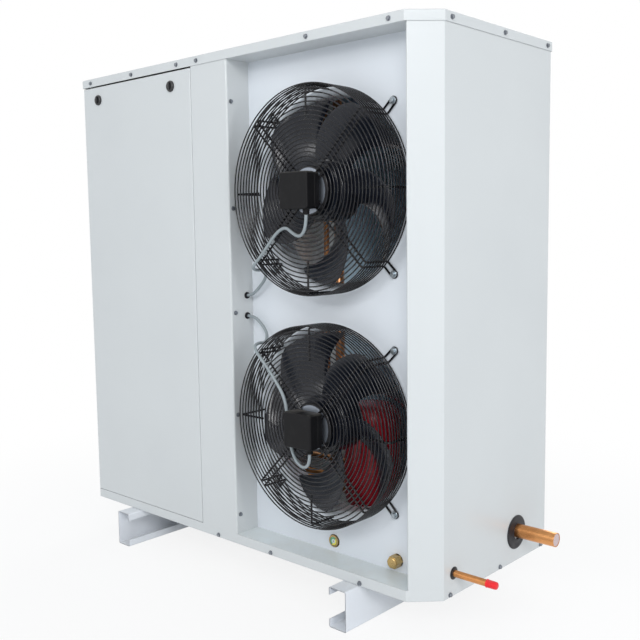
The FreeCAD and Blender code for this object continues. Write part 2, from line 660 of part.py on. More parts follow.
def partition_wall():
    body = block("Partition", partition_x, f"{front} + {thick}", floor, thick,
                 f"Sizes.cab_depth - 2 * {thick}", f"{under_lid} - {floor}")
    suction = rod("PartitionSuctionHole", "x", f"{partition_x} - {thick}", suction_y,
                  f"{base} + Sizes.suction_z", "Sizes.suction_r + Sizes.pipe_clear", f"3 * {thick}")
    discharge = rod("PartitionDischargeHole", "x", f"{partition_x} - {thick}", discharge_y,
                    f"{base} + Sizes.discharge_z", "Sizes.discharge_r + Sizes.pipe_clear", f"3 * {thick}")
    keep(without("PartitionDrilled", body, [suction, discharge]), "partition_wall")


panel_x = f"({left} + Sizes.panel_gap)"
panel_w = "(Sizes.panel_width - 2 * Sizes.panel_gap)"
panel_top = f"({top} - Sizes.lid_flange - Sizes.panel_top_gap)"
lock_z = f"({panel_top} - Sizes.lock_drop)"
lock_x = {
    "panel_lock_left": f"({left} + Sizes.lock_inset_left)",
    "panel_lock_right": f"({post_left} - Sizes.lock_inset_right)",
}


def access_panel():
    def rectangle(inset):
        low = f"{ledge} + {inset}"
        high = f"{panel_top} - {inset}"
        near = f"{panel_x} + {inset}"
        far = f"{panel_x} + {panel_w} - {inset}"
        return [(near, low), (far, low), (far, high), (near, high)]

    body = prism("Panel", "XZ_Plane", rectangle("0"), front, "Sizes.panel_return")
    hollow(body, "PanelWell", "XZ_Plane", rectangle(thick), f"Sizes.panel_return - {thick}", True)
    holes = [rod(f"LockHole{i}", "y", x, f"{front} - {thick}", lock_z,
                 "Sizes.lock_shaft_r + Sizes.running_gap", f"3 * {thick}")
             for i, x in enumerate(lock_x.values())]
    keep(without("PanelDrilled", body, holes), "access_panel")
    keep(block("Foam", f"{panel_x} + Sizes.foam_margin", f"{front} + {thick}", f"{ledge} + Sizes.foam_margin",
               f"{panel_w} - 2 * Sizes.foam_margin", "Sizes.foam_t",
               f"{panel_top} - {ledge} - Sizes.foam_margin - Sizes.foam_top_drop"), "panel_foam")


def panel_lock(label):
    """Quarter turn lock: round head, grip bar, shaft and cam."""
    x = lock_x[label]
    head = rod(label + "_head", "y", x, f"{front} - Sizes.lock_t", lock_z, "Sizes.lock_r", "Sizes.lock_t")
    grip = block(label + "_grip",
                 f"{x} - Sizes.lock_grip_w / 2", f"{front} - Sizes.lock_t - Sizes.lock_grip_t",
                 f"{lock_z} - 0.75 * Sizes.lock_r",
                 "Sizes.lock_grip_w", "Sizes.lock_grip_t", "1.5 * Sizes.lock_r")
    shaft = rod(label + "_shaft", "y", x, front, lock_z, "Sizes.lock_shaft_r",
                "Sizes.cam_setback + Sizes.cam_t")
    cam = block(label + "_cam", f"{x} - Sizes.cam_width / 2", f"{front} + Sizes.cam_setback",
                f"{lock_z} - Sizes.cam_width / 2", "Sizes.cam_width", "Sizes.cam_t",
                "Sizes.cam_length + Sizes.cam_width / 2")
    keep(joined(label + "_whole", [head, grip, shaft, cam]), label)


# Fans. The centre is the middle of the recess; both fans are alike.
fan_x = f"(({post_right} + {recess_right}) / 2)"
fan_z = {"lower": f"({base} + Sizes.fan_low_z)", "upper": f"({base} + Sizes.fan_low_z + Sizes.fan_pitch)"}
guard_y = f"({front} - Sizes.guard_proud + Sizes.ring_wire_r)"
spoke_y = f"({guard_y} + Sizes.ring_wire_r + Sizes.spoke_wire_r + Sizes.running_gap)"
flange_y = f"({spoke_y} + Sizes.spoke_wire_r + Sizes.running_gap)"
box_back = f"({guard_y} - Sizes.ring_wire_r - Sizes.running_gap)"
rotor_y = f"({flange_y} + Sizes.motor_flange_t + Sizes.motor_neck_t + Sizes.seat_gap)"


def fan_plate():
    width = f"{recess_right} - {post_right}"
    plate = block("FanPlate", f"{post_right} - {thick}", fan_face, ledge, f"{width} + 2 * {thick}", thick,
                  f"{under_lid} - {ledge}")
    openings = []
    nozzles = []
    for name, z in fan_z.items():
        openings.append(rod(f"Opening_{name}", "y", fan_x, f"{fan_face} - {thick}", z, "Sizes.bell_r",
                            f"3 * {thick}"))
        nozzles.append(shaped(f"Nozzle_{name}", nozzle_shape(), Vector(num(fan_x), 0, num(z))))
    sight = rod("SightHole", "y", fan_x, f"{fan_face} - {thick}", f"{base} + Sizes.liquid_z",
                "Sizes.sight_r + Sizes.plate_hole_clear", f"3 * {thick}")
    valve = rod("ValveHole", "y", f"{right} - Sizes.valve_inset", f"{fan_face} - {thick}",
                f"{base} + Sizes.liquid_z", "Sizes.valve_cap_w / sqrt(3) + Sizes.plate_hole_clear",
                f"3 * {thick}")
    pierced = without("PlatePierced", plate, openings + [sight, valve])
    pressed = joined("PlatePressed", [pierced] + nozzles)
    keep(without("PlateDrilled", pressed, [shaped("GuardHoles", guard_hole_shape())]), "fan_plate")


def nozzle_shape():
    """Bell mouth and throat behind one opening, as sheet of one thickness."""
    sheet_t = size("sheet_t")
    bell = size("bell_r")
    throat = size("throat_r")
    roll = bell - throat
    face = num(fan_face)
    end = face + size("nozzle_depth")

    def side(offset):
        radius = roll - offset
        middle = Vector(bell, face + roll, 0)
        start = Vector(bell, face + offset, 0)
        mid = middle + Vector(-radius * math.sin(math.pi / 4), -radius * math.cos(math.pi / 4), 0)
        stop = Vector(bell - radius, face + roll, 0)
        return start, mid, stop

    outer = side(0)
    inner = side(sheet_t)
    rim = Vector(throat, end, 0)
    rim_back = Vector(throat + sheet_t, end, 0)
    edges = [
        Part.Arc(*outer).toShape(),
        Part.LineSegment(outer[2], rim).toShape(),
        Part.LineSegment(rim, rim_back).toShape(),
        Part.LineSegment(rim_back, inner[2]).toShape(),
        Part.Arc(inner[2], inner[1], inner[0]).toShape(),
        Part.LineSegment(inner[0], outer[0]).toShape(),
    ]
    return Part.Face(Part.Wire(edges)).revolve(Vector(), Vector(0, 1, 0), 360)


def guard_corners(centre_z):
    """The four screw places round one fan, on the fan plate's face."""
    offset = size("guard_screw_offset")
    return [Vector(num(fan_x) + sx * offset, num(fan_face), centre_z + sz * offset)
            for sx in (-1, 1) for sz in (-1, 1)]


def guard_hole_shape():
    radius = size("guard_bolt_r") + size("screw_clear")
    start = Vector(0, -size("sheet_t"), 0)
    holes = [Part.makeCylinder(radius, 3 * size("sheet_t"), spot + start, axis_vector["y"])
             for z in fan_z.values() for spot in guard_corners(num(z))]
    return Part.makeCompound(holes)


def wire_ring(centre, major, minor):
    """Ring of round wire about +Y, turned from a spline section."""
    section = Part.Circle(centre + Vector(major, 0, 0), axis_vector["z"], minor).toBSpline()
    return Part.Face(Part.Wire(section.toShape())).revolve(centre, axis_vector["y"], 360)


def fan_guard(name, z):
    """Ring wires, then the bent spokes that hold them to the plate."""
    centre = Vector(num(fan_x), 0, num(z))
    wire = size("ring_wire_r")
    spoke = size("spoke_wire_r")
    reach = size("guard_r")
    ring_count = int(size("guard_rings"))
    step = (reach - size("guard_inner_r")) / (ring_count - 1)
    front_y = num(guard_y)
    plate_y = num(fan_face)
    rings = [wire_ring(centre + Vector(0, front_y, 0), size("guard_inner_r") + i * step, wire)
             for i in range(ring_count)]
    side_count = int(size("guard_side_rings"))
    lowest = plate_y - spoke - size("guard_bend") - wire - size("seat_gap")
    side_step = (lowest - front_y) / side_count
    rings += [wire_ring(centre + Vector(0, front_y + (i + 1) * side_step, 0), reach, wire)
              for i in range(side_count)]
    keep(shaped(f"Rings_{name}", Part.makeCompound(rings)), f"{name}_guard_rings")
    keep(shaped(f"Spokes_{name}", Part.makeCompound(guard_spokes(centre, plate_y))), f"{name}_guard_spokes")


def guard_spokes(centre, plate_y):
    """Four double spokes ending in eyelets, and four single spokes."""
    spoke = size("spoke_wire_r")
    side_r = size("guard_r") - size("ring_wire_r") - spoke - size("running_gap")
    y = num(spoke_y)
    foot_y = plate_y - spoke
    half = size("spoke_pair_gap") / 2
    bend = size("guard_bend")
    eye = size("eye_r")
    screw_r = math.sqrt(2) * size("guard_screw_offset")
    solids = []
    for turn in (45, 135, 225, 315):
        out = Vector(math.cos(math.radians(turn)), 0, math.sin(math.radians(turn)))
        across = Vector(-out.z, 0, out.x)
        for sign in (-1, 1):
            flat = math.sqrt(side_r ** 2 - half ** 2)
            shift = across * (sign * half)
            route = [out * size("motor_neck_r") + shift + Vector(0, y, 0),
                     out * flat + shift + Vector(0, y, 0),
                     out * flat + shift + Vector(0, foot_y, 0),
                     out * (screw_r - eye - 2 * spoke) + shift + Vector(0, foot_y, 0)]
            solids.append(pipe([centre + spot for spot in route], spoke, bend)[0])
        ring = Part.makeTorus(eye, spoke, centre + out * screw_r + Vector(0, foot_y, 0), axis_vector["y"])
        bar_start = centre + out * (screw_r - eye - spoke) - across * (half + spoke)
        bar = Part.makeCylinder(spoke, 2 * half + 2 * spoke, bar_start + Vector(0, foot_y, 0), across)
        solids.append(ring.fuse(bar))
    for turn in (0, 90, 180, 270):
        out = Vector(math.cos(math.radians(turn)), 0, math.sin(math.radians(turn)))
        route = [out * size("single_spoke_in") + Vector(0, y, 0), out * side_r + Vector(0, y, 0),
                 out * side_r + Vector(0, foot_y, 0)]
        solids.append(pipe([centre + spot for spot in route], spoke, bend)[0])
    return solids


def guard_screws():
    """Zinc screw and washer in each guard eyelet."""
    away = Vector(0, -1, 0)
    solids = []
    for z in fan_z.values():
        for spot in guard_corners(num(z)):
            seat = spot + away * (2 * size("spoke_wire_r"))
            washer = Part.makeCylinder(size("guard_washer_r"), size("guard_washer_t"), seat, away)
            top = seat + away * size("guard_washer_t")
            head = hexagon(size("guard_bolt_w"), size("guard_bolt_t"), top, away)
            shank_l = 2 * size("spoke_wire_r") + 6 * size("sheet_t")
            shank = Part.makeCylinder(size("guard_bolt_r"), shank_l, seat, away * -1)
            solids.append(washer.fuse([head, shank]).removeSplitter())
    keep(shaped("GuardScrews", Part.makeCompound(solids)), "guard_screws")


def fan_motor(name, z):
    """Stator with its flange, neck and shaft, and the rotor can round it."""
    flange = rod(f"Flange_{name}", "y", fan_x, flange_y, z, "Sizes.motor_flange_r", "Sizes.motor_flange_t")
    neck = rod(f"Neck_{name}", "y", fan_x, flange_y, z, "Sizes.motor_neck_r",
               "Sizes.motor_flange_t + Sizes.motor_neck_t")
    shaft = rod(f"Shaft_{name}", "y", fan_x, flange_y, z, "Sizes.motor_shaft_r",
                "Sizes.motor_flange_t + Sizes.motor_neck_t + Sizes.seat_gap + Sizes.motor_shaft_l")
    keep(joined(f"Stator_{name}", [flange, neck, shaft]), f"{name}_motor_stator")
    bore = "(Sizes.motor_shaft_r + Sizes.running_gap)"
    depth = "(Sizes.motor_shaft_l + Sizes.rotor_wall)"
    profile = [("0", bore), ("0", "Sizes.rotor_r"),
               ("Sizes.rotor_l", "Sizes.rotor_r"), ("Sizes.rotor_l", "0"),
               (depth, "0"), (depth, bore)]
    keep(turned(f"Rotor_{name}", "y", fan_x, rotor_y, z, profile), f"{name}_motor_rotor")


def blade_shape():
    """One sickle blade, lofted through sections from the hub to the tip."""
    hub = size("rotor_r") + size("impeller_sleeve_t") / 2
    tip = size("throat_r") - size("blade_tip_gap")
    sections = []
    stations = int(size("blade_sections"))
    for i in range(stations):
        share = i / (stations - 1)
        radius = hub + share * (tip - hub)
        chord = size("blade_root_chord") + share * (size("blade_tip_chord") - size("blade_root_chord"))
        twist = size("blade_tip_pitch") - size("blade_root_pitch")
        pitch = math.radians(size("blade_root_pitch") + share * twist)
        lean = math.radians(size("blade_sweep")) * share ** size("blade_hook")
        out = Vector(math.cos(lean), 0, -math.sin(lean))
        around = Vector(-math.sin(lean), 0, -math.cos(lean))
        along = around * math.cos(pitch) + Vector(0, math.sin(pitch), 0)
        normal = around * -math.sin(pitch) + Vector(0, math.cos(pitch), 0)
        half_t = size("blade_t") / 2
        flat = math.sqrt(max(radius ** 2 - (chord * math.cos(pitch) / 2) ** 2, 0))
        middle = out * flat
        corners = [middle + along * (a * chord / 2) + normal * (b * half_t)
                   for a, b in ((-1, -1), (1, -1), (1, 1), (-1, 1))]
        sections.append(Part.makePolygon(corners + corners[:1]))
    return Part.makeLoft(sections, True, False)


def impeller(name, z):
    """Sleeve on the rotor with its blades."""
    sleeve_in = size("rotor_r") + size("running_gap")
    sleeve_out = size("rotor_r") + size("impeller_sleeve_t")
    length = size("impeller_sleeve_l")
    ring = Part.makeCylinder(sleeve_out, length, Vector(0, -length / 2, 0), axis_vector["y"])
    core = Part.makeCylinder(sleeve_in, 3 * length, Vector(0, -1.5 * length, 0), axis_vector["y"])
    tip = size("throat_r") - size("blade_tip_gap")
    drum = Part.makeCylinder(tip, 2 * length, Vector(0, -length, 0), axis_vector["y"])
    blade = blade_shape().common(drum)
    count = int(size("blade_count"))
    rest = size(f"{name}_fan_rest")
    blades = [blade.rotated(Vector(), axis_vector["y"], rest + i * 360 / count) for i in range(count)]
    spot = Vector(num(fan_x), num(rotor_y) + size("impeller_setback") + length / 2, num(z))
    keep(shaped(f"Impeller_{name}", ring.fuse(blades).cut(core), spot), f"{name}_fan_impeller")


def gland_spot():
    """Middle of the gland's upper end, from the fan centre."""
    return Vector(size("box_w") / 4, num(box_back) - size("box_t") / 2, -size("box_h") / 2)


def terminal_box(name, z):
    """Moulded box in front of the motor flange, with its cable gland below."""
    width = size("box_w")
    tall = size("box_h")
    deep = size("box_t")
    back_y = num(box_back)
    box = Part.makeBox(width, deep, tall, Vector(-width / 2, back_y - deep, -tall / 2))
    rear = box.BoundBox.YMax
    edges = [edge for edge in box.Edges if not all(abs(v.Point.y - rear) < 1e-6 for v in edge.Vertexes)]
    shell = box.makeFillet(size("box_round"), edges)
    neck = Part.makeCylinder(size("motor_neck_r"), num(flange_y) - back_y, Vector(0, back_y, 0),
                             axis_vector["y"])
    mouth = gland_spot()
    down = Vector(0, 0, -1)
    gland = Part.makeCylinder(size("gland_r"), size("gland_l"), mouth, down)
    bore = Part.makeCylinder(size("lead_r") + size("running_gap"), size("gland_l"), mouth, down)
    keep(shaped(f"Box_{name}", shell.fuse([neck, gland]).cut(bore), Vector(num(fan_x), 0, num(z))),
         f"{name}_terminal_box")


# Routes of the fan leads from below the gland to the post's wall: across and
# up from the fan centre, and depth from the cabinet's front face.
lead_routes = {
    "upper": [(12, -30, -97), (-10, -24, -109), (-38, -20, -98), (-62, -16.3, -84), (-92, -16.3, -96),
              (-122, -16.3, -126), (-152, -16.3, -157), (-182, -16.3, -184), (-194, 6, -197),
              (-198, 38, -202), (-218, 58, -224), (-242, 57, -246)],
    "lower": [(10, -30, -92), (-16, -24, -97), (-42, -19, -82), (-56, -16.3, -56), (-64, -16.3, -26),
              (-68, -16.3, 8), (-70, -16.3, 40), (-80, -16.3, 72), (-106, -16.3, 104), (-136, -16.3, 136),
              (-182, -16.3, 183), (-194, 6, 196), (-198, 38, 201), (-218, 58, 222), (-242, 57, 244)],
}


def fan_lead(name, z):
    """Cable that the gland, the ties and the wall grommet hold all the way."""
    row = 1 if name == "upper" else 0
    wall = Vector(num(post_right), num(front) + size("lead_grommet_y"),
                  num(base) + size("lead_grommet_low") + row * size("lead_grommet_pitch"))
    start = gland_spot() + Vector(num(fan_x), 0, num(z))
    points = [start - Vector(0, 0, size("gland_l") / 2),
              start - Vector(0, 0, size("gland_l") + size("box_h") / 6)]
    points += [Vector(num(fan_x) + x, num(front) + y, num(z) + up) for x, y, up in lead_routes[name]]
    points.append(wall + Vector(size("lead_grommet_t") + size("lead_exit"), 0, 0))
    points.append(wall - Vector(2 * size("lead_r"), 0, 0))
    solid, radii = pipe(points, size("lead_r"))
    print(f"{name} lead: bend radii", [round(radius) for radius in radii])
    keep(shaped(f"Lead_{name}", solid), f"{name}_fan_lead")
    spots = rounded_path(points)[0].discretize(Number=2000)
    return [tie(Vector(num(fan_x), 0, num(z)), ring, tie_turn[name], spots) for ring in tie_rings[name]]


# Each tie holds its lead to a spoke wire, between a guard ring and the next.
tie_turn = {"upper": 225, "lower": 135}
tie_rings = {"upper": (8, 12), "lower": (8, 12)}


def tie(centre, ring, turn, spots):
    """Strap round a lead and the spoke wire behind it, with its head."""
    out = Vector(math.cos(math.radians(turn)), 0, math.sin(math.radians(turn)))
    across = Vector(out.z, 0, -out.x)
    step = (size("guard_r") - size("guard_inner_r")) / (size("guard_rings") - 1)
    reach = size("guard_inner_r") + (ring + 0.5) * step
    width = size("tie_w")
    lead = min(spots, key=lambda spot: abs((spot - centre).dot(out) - reach)) - centre
    start = centre + out * (reach - width / 2)
    held = [(across * lead.dot(across) + Vector(0, lead.y, 0), size("lead_r")),
            (across * (size("spoke_pair_gap") / 2) + Vector(0, num(spoke_y), 0), size("spoke_wire_r"))]
    inner = size("tie_gap")
    outer = inner + size("tie_t")
    strap = band(start, held, outer, out * width).cut(band(start, held, inner, out * width))
    box = size("tie_head")
    corner = start + held[0][0] - across * (size("lead_r") + inner + size("tie_t") / 2 + box)
    head = Part.makeBox(box, box, box)
    head.Placement = Placement(corner - Vector(0, box / 2, 0) - out * ((box - width) / 2),
                               Rotation(across, Vector(0, 1, 0), out, "XYZ"))
    return strap.fuse(head).removeSplitter()


def band(start, held, grow, length):
    """Solid whose section is the taut outline round two grown circles."""
    (first, first_r), (second, second_r) = [(spot, radius + grow) for spot, radius in held]
    along = second - first
    gap = along.Length
    along.normalize()
    side = length.cross(along)
    side.normalize()
    lean = math.acos((first_r - second_r) / gap)

    def edge(spot, radius, turn):
        return start + spot + (along * math.cos(turn) + side * math.sin(turn)) * radius

    corners = [edge(first, first_r, lean), edge(second, second_r, lean), edge(second, second_r, -lean),
               edge(first, first_r, -lean)]
    edges = [
        Part.LineSegment(corners[0], corners[1]).toShape(),
        Part.Arc(corners[1], edge(second, second_r, 0), corners[2]).toShape(),
        Part.LineSegment(corners[2], corners[3]).toShape(),
        Part.Arc(corners[3], edge(first, first_r, math.pi), corners[0]).toShape(),
    ]
    return Part.Face(Part.Wire(edges)).extrude(length)


def lead_grommets():
    lip_t = size("lead_grommet_t")
    inside = size("sheet_t") + size("lead_grommet_lip")
    neck_r = size("lead_grommet_r") - size("lead_grommet_lip") - size("running_gap")
    solids = []
    for i in range(2):
        centre = Vector(num(post_right), num(front) + size("lead_grommet_y"),
                        num(base) + size("lead_grommet_low") + i * size("lead_grommet_pitch"))
        start = centre - Vector(inside, 0, 0)
        lip = Part.makeCylinder(size("lead_grommet_r"), lip_t, centre, axis_vector["x"])
        neck = Part.makeCylinder(neck_r, inside, start, axis_vector["x"])
        bore_r = size("lead_r") + size("running_gap")
        bore = Part.makeCylinder(bore_r, inside + lip_t, start, axis_vector["x"])
        solids.append(lip.fuse(neck).cut(bore))
    keep(shaped("LeadGrommets", Part.makeCompound(solids)), "lead_grommets")


# Refrigerant side.
suction_axis = Vector(0, num(suction_y), num(f"{base} + Sizes.suction_z"))
liquid_axis = Vector(0, num(f"{front} + Sizes.liquid_y"), num(f"{base} + Sizes.liquid_z"))
compressor = Vector(num(f"{left} + Sizes.comp_x"), num(comp_y), num(floor))
nozzle_end = num(fan_face) + size("nozzle_depth")
free_depth = suction_axis.y - size("suction_r") - nozzle_end - 2 * size("receiver_r")
receiver = Vector(num(f"{partition_right} + Sizes.receiver_x"),
                  nozzle_end + size("receiver_r") + size("receiver_share") * free_depth, num(floor))


def grommet(label, centre, lip_r, hole_r, lip_t, bore_centre, bore_r):
    """Rubber ring seated in a hole of the right side."""
    wall = size("sheet_t")
    outside = Part.makeCylinder(lip_r, lip_t, centre, axis_vector["x"])
    neck = Part.makeCylinder(hole_r, wall, centre - Vector(wall, 0, 0), axis_vector["x"])
    inside = Part.makeCylinder(lip_r, lip_t, centre - Vector(wall + lip_t, 0, 0), axis_vector["x"])
    bore = Part.makeCylinder(bore_r, 6 * lip_t, bore_centre - Vector(3 * lip_t, 0, 0), axis_vector["x"])
    keep(shaped(label + "_ring", outside.fuse([neck, inside]).cut(bore)), label)


def suction_line():
    end_x = num(right) + size("suction_stub")
    port_z = num(base) + size("comp_suction_z")
    riser_x = num(partition_x) - size("suction_riser")
    route = [
        Vector(end_x, suction_axis.y, suction_axis.z),
        Vector(riser_x, suction_axis.y, suction_axis.z),
        Vector(riser_x, suction_axis.y, port_z),
        Vector(riser_x, compressor.y, port_z),
        Vector(compressor.x + size("comp_r") + size("running_gap"), compressor.y, port_z),
    ]
    solid = pipe(route, size("suction_r"), size("suction_bend"))[0]
    bore_r = size("suction_r") - size("suction_wall")
    bore = Part.makeCylinder(bore_r, size("suction_bore_l"), route[0], Vector(-1, 0, 0))
    keep(shaped("SuctionPipe", solid.cut(bore)), "suction_pipe")
    plug = Part.makeCylinder(bore_r, size("suction_plug_t"), route[0] - Vector(size("suction_plug_t"), 0, 0),
                             axis_vector["x"])
    keep(shaped("SuctionPlug", plug), "suction_end_plate")
    centre = Vector(num(right), suction_axis.y, suction_axis.z - size("grommet_drop"))
    grommet("suction_grommet", centre, size("grommet_r"), size("grommet_hole_r"), size("grommet_t"),
            Vector(num(right), suction_axis.y, suction_axis.z), size("suction_r") + size("running_gap"))


def liquid_line():
    """Pipe in pieces between the receiver, drier, sight glass, valve and stub."""
    radius = size("liquid_r")
    drier_y = num(front) + size("drier_y")
    drier_end = num(partition_right) + size("drier_left")
    drier_far = drier_end + size("drier_l") + 2 * size("drier_cone")
    sight = num(fan_x)
    valve = num(right) - size("valve_inset")
    half_sight = size("sight_body_l") / 2
    half_valve = size("valve_body_l") / 2
    z = liquid_axis.z
    y = liquid_axis.y
    out_z = num(base) + size("receiver_out_z")
    bend = size("liquid_bend")
    stub = size("drier_stub")
    turn_x = drier_end - size("drier_return")
    pieces = [
        [Vector(valve + half_valve, y, z), Vector(num(right) + size("liquid_stub"), y, z)],
        [Vector(sight + half_sight, y, z), Vector(valve - half_valve, y, z)],
        [Vector(drier_far, drier_y, z), Vector(drier_far + stub, drier_y, z),
         Vector(sight - half_sight - stub, y, z),
         Vector(sight - half_sight, y, z)],
        [Vector(drier_end, drier_y, z), Vector(turn_x, drier_y, z), Vector(turn_x, receiver.y, out_z),
         Vector(receiver.x - size("receiver_r") - size("running_gap"), receiver.y, out_z)],
    ]
    keep(shaped("LiquidPipe", Part.makeCompound([pipe(route, radius, bend)[0] for route in pieces])),
         "liquid_pipe")
    lip = size("liquid_grommet_t")
    wall = Vector(num(right), y, z)
    grommet("liquid_grommet", wall, size("liquid_grommet_r"), size("liquid_grommet_r") - lip, lip, wall,
            radius + size("running_gap"))


def pipe_cap():
    """Red push-on cap on the end of the liquid pipe."""
    bore = "(Sizes.liquid_r + Sizes.running_gap)"
    outer = f"({bore} + Sizes.cap_wall)"
    profile = [("-Sizes.cap_length", bore), ("-Sizes.cap_length", outer), ("Sizes.cap_end_t", outer),
               ("Sizes.cap_end_t", "0"), ("0", "0"), ("0", bore)]
    keep(turned("PipeCap", "x", f"{right} + Sizes.liquid_stub", f"{front} + Sizes.liquid_y",
                f"{base} + Sizes.liquid_z", profile), "liquid_pipe_cap")


def filter_drier():
    cone = "Sizes.drier_cone"
    long = "Sizes.drier_l"
    end_r = "(Sizes.liquid_r + Sizes.braze_wall)"
    profile = [("0", "0"), ("0", end_r), (cone, "Sizes.drier_r"), (f"{cone} + {long}", "Sizes.drier_r"),
               (f"2 * {cone} + {long}", end_r), (f"2 * {cone} + {long}", "0")]
    keep(turned("Drier", "x", f"{partition_right} + Sizes.drier_left", f"{front} + Sizes.drier_y",
                f"{base} + Sizes.liquid_z", profile), "filter_drier")


def sight_glass():
    y = f"{front} + Sizes.liquid_y"
    z = f"{base} + Sizes.liquid_z"
    face = f"({fan_face} - Sizes.sight_proud)"
    body = rod("SightBody", "x", f"{fan_x} - Sizes.sight_body_l / 2", y, z,
               "Sizes.liquid_r + Sizes.braze_wall",
               "Sizes.sight_body_l")
    boss = rod("SightBoss", "y", fan_x, face, z, "Sizes.sight_r", f"{front} + Sizes.liquid_y - {face}")
    seat = rod("SightSeat", "y", fan_x, face, z, "Sizes.lens_r + Sizes.running_gap", "Sizes.lens_t")
    keep(without("SightWhole", joined("SightSolid", [body, boss]), [seat]), "sight_glass_body")
    keep(rod("SightLens", "y", fan_x, face, z, "Sizes.lens_r", "Sizes.lens_t"), "sight_glass_lens")


def service_valve():
    x = f"({right} - Sizes.valve_inset)"
    y = f"({front} + Sizes.liquid_y)"
    z = f"({base} + Sizes.liquid_z)"
    seat = f"({fan_face} + 2 * {thick})"
    body = rod("ValveBody", "x", f"{x} - Sizes.valve_body_l / 2", y, z, "Sizes.valve_body_r",
               "Sizes.valve_body_l")
    boss = rod("ValveBoss", "y", x, seat, z, "Sizes.valve_body_r - Sizes.valve_neck", f"{y} - {seat}")
    keep(joined("ValveWhole", [body, boss]), "service_valve")
    away = Vector(0, -1, 0)
    start = Vector(num(x), num(seat), num(z))
    tall = num(f"{seat} - {fan_face}") + size("valve_cap_l")
    cap = hexagon(size("valve_cap_w"), tall, start, away)
    crown = Part.makeCylinder(size("valve_cap_w") / 2, tall + size("valve_crown"), start, away)
    keep(shaped("ValveCap", cap.fuse(crown).removeSplitter()), "service_valve_cap")


def receiver_tank():
    foot = size("receiver_foot_h")
    shell = Part.makeCylinder(size("receiver_r"), size("receiver_h"), receiver + Vector(0, 0, foot))
    rims = [edge for edge in shell.Edges if len(edge.Vertexes) == 1]
    shell = shell.makeFillet(size("receiver_dome"), rims)
    keep(shaped("Receiver", shell), "liquid_receiver")
    ring = Part.makeCylinder(size("receiver_foot_r"), size("receiver_foot_t"), receiver)
    neck = Part.makeCylinder(size("receiver_neck_r"), foot, receiver)
    keep(shaped("ReceiverFoot", ring.fuse(neck).removeSplitter()), "receiver_foot")


# Coil: fins between two end plates, with two rows of tubes.
coil_left = f"({partition_right} + Sizes.coil_left_gap)"
coil_right = f"({right} - Sizes.coil_right_gap)"
coil_back = f"({back} - Sizes.coil_back_gap)"
coil_front = f"({coil_back} - Sizes.coil_t)"
fin_low = f"({floor} + Sizes.coil_foot)"
fin_high = f"({under_lid} - Sizes.coil_top_gap)"


def tube_rows():
    """Heights of the tubes and the depth of each row."""
    middle = num(f"({coil_front} + {coil_back}) / 2")
    rows = (middle - size("row_pitch") / 2, middle + size("row_pitch") / 2)
    first = num(fin_low) + size("tube_start")
    heights = [first + i * size("tube_pitch") for i in range(int(size("tube_count")))]
    return rows, heights


def tube_bores(name, clear):
    rows, heights = tube_rows()
    beyond = 2 * size("sheet_t")
    start = num(coil_left) - beyond
    length = num(coil_right) - num(coil_left) + 2 * beyond
    bores = [Part.makeCylinder(size("tube_r") + clear, length, Vector(start, y, z), axis_vector["x"])
             for y in rows for z in heights]
    return shaped(name, Part.makeCompound(bores))


def half_ring(centre, radius, bar, across, bulge):
    """U bend between two tube ends, in the plane of across and bulge."""
    start = centre - across * radius
    circle = Part.Wire([Part.makeCircle(bar, start, bulge)])
    path = Part.Wire([Part.Arc(start, centre + bulge * radius, centre + across * radius).toShape()])
    return path.makePipeShell([circle], True, False)


def coil():
    keep(without("FinsPierced", block("Fins", coil_left, coil_front, fin_low, f"{coil_right} - {coil_left}",
                                      "Sizes.coil_t", f"{fin_high} - {fin_low}"),
                 [tube_bores("FinBores", size("tube_clear"))]), "coil_fins")
    plates = []
    for name, x, flange_x in (("Left", f"{coil_left} - {thick}", f"{coil_left} - {thick}"),
                              ("Right", coil_right, f"{coil_right} + {thick} - Sizes.coil_flange")):
        tall = f"{fin_high} + Sizes.end_plate_over - {floor}"
        web = block(f"Plate{name}", x, coil_front, floor, thick, "Sizes.coil_t", tall)
        lip = block(f"Lip{name}", flange_x, coil_back, floor, "Sizes.coil_flange", thick, tall)
        plates.append(joined(f"End{name}", [web, lip]))
    bores = tube_bores("PlateBores", size("tube_clear"))
    keep(without("PlatesPierced", grouped("EndPlates", plates), [bores]), "coil_end_plates")

    rows, heights = tube_rows()
    near = num(coil_left) - size("sheet_t") - size("tube_out")
    far = num(coil_right) + size("sheet_t") + size("tube_out")
    bar = size("tube_r")
    half = size("tube_pitch") / 2
    middle = (rows[0] + rows[1]) / 2
    count = len(heights)
    per_group = count // int(size("tube_groups"))
    circuits = []
    for low in range(0, count, per_group):
        group = heights[low:low + per_group]
        bends = [half_ring(Vector(near, middle, group[0]), size("row_pitch") / 2, bar, axis_vector["y"],
                           Vector(-1, 0, 0))]
        for y in rows:
            for i, (here, above) in enumerate(zip(group, group[1:])):
                x, bulge = (near, Vector(-1, 0, 0)) if i % 2 else (far, Vector(1, 0, 0))
                bends.append(half_ring(Vector(x, y, (here + above) / 2), half, bar, axis_vector["z"], bulge))
        tubes = [Part.makeCylinder(bar, far - near, Vector(near, y, z), axis_vector["x"])
                 for y in rows for z in group]
        circuit = tubes[0].fuse(tubes[1:] + bends)
        expected = sum(piece.Volume for piece in tubes + bends)
        if len(circuit.Solids) != 1 or abs(circuit.Volume - expected) > 0.001 * expected:
            raise RuntimeError("a coil circuit isn't one whole tube")
        circuits.append(circuit)
    keep(shaped("CoilTubes", Part.makeCompound(circuits)), "coil_tubes")

    feeds = [heights[i] for i in range(per_group - 1, count, per_group)]
    gas = header(num(coil_left) - size("gas_header_out"), rows[1], feeds, size("gas_header_r"), near)
    liquid = header(num(coil_left) - size("liquid_header_out"), rows[0], feeds, size("liquid_header_r"), near)
    keep(shaped("Headers", Part.makeCompound([gas, liquid])), "coil_headers")


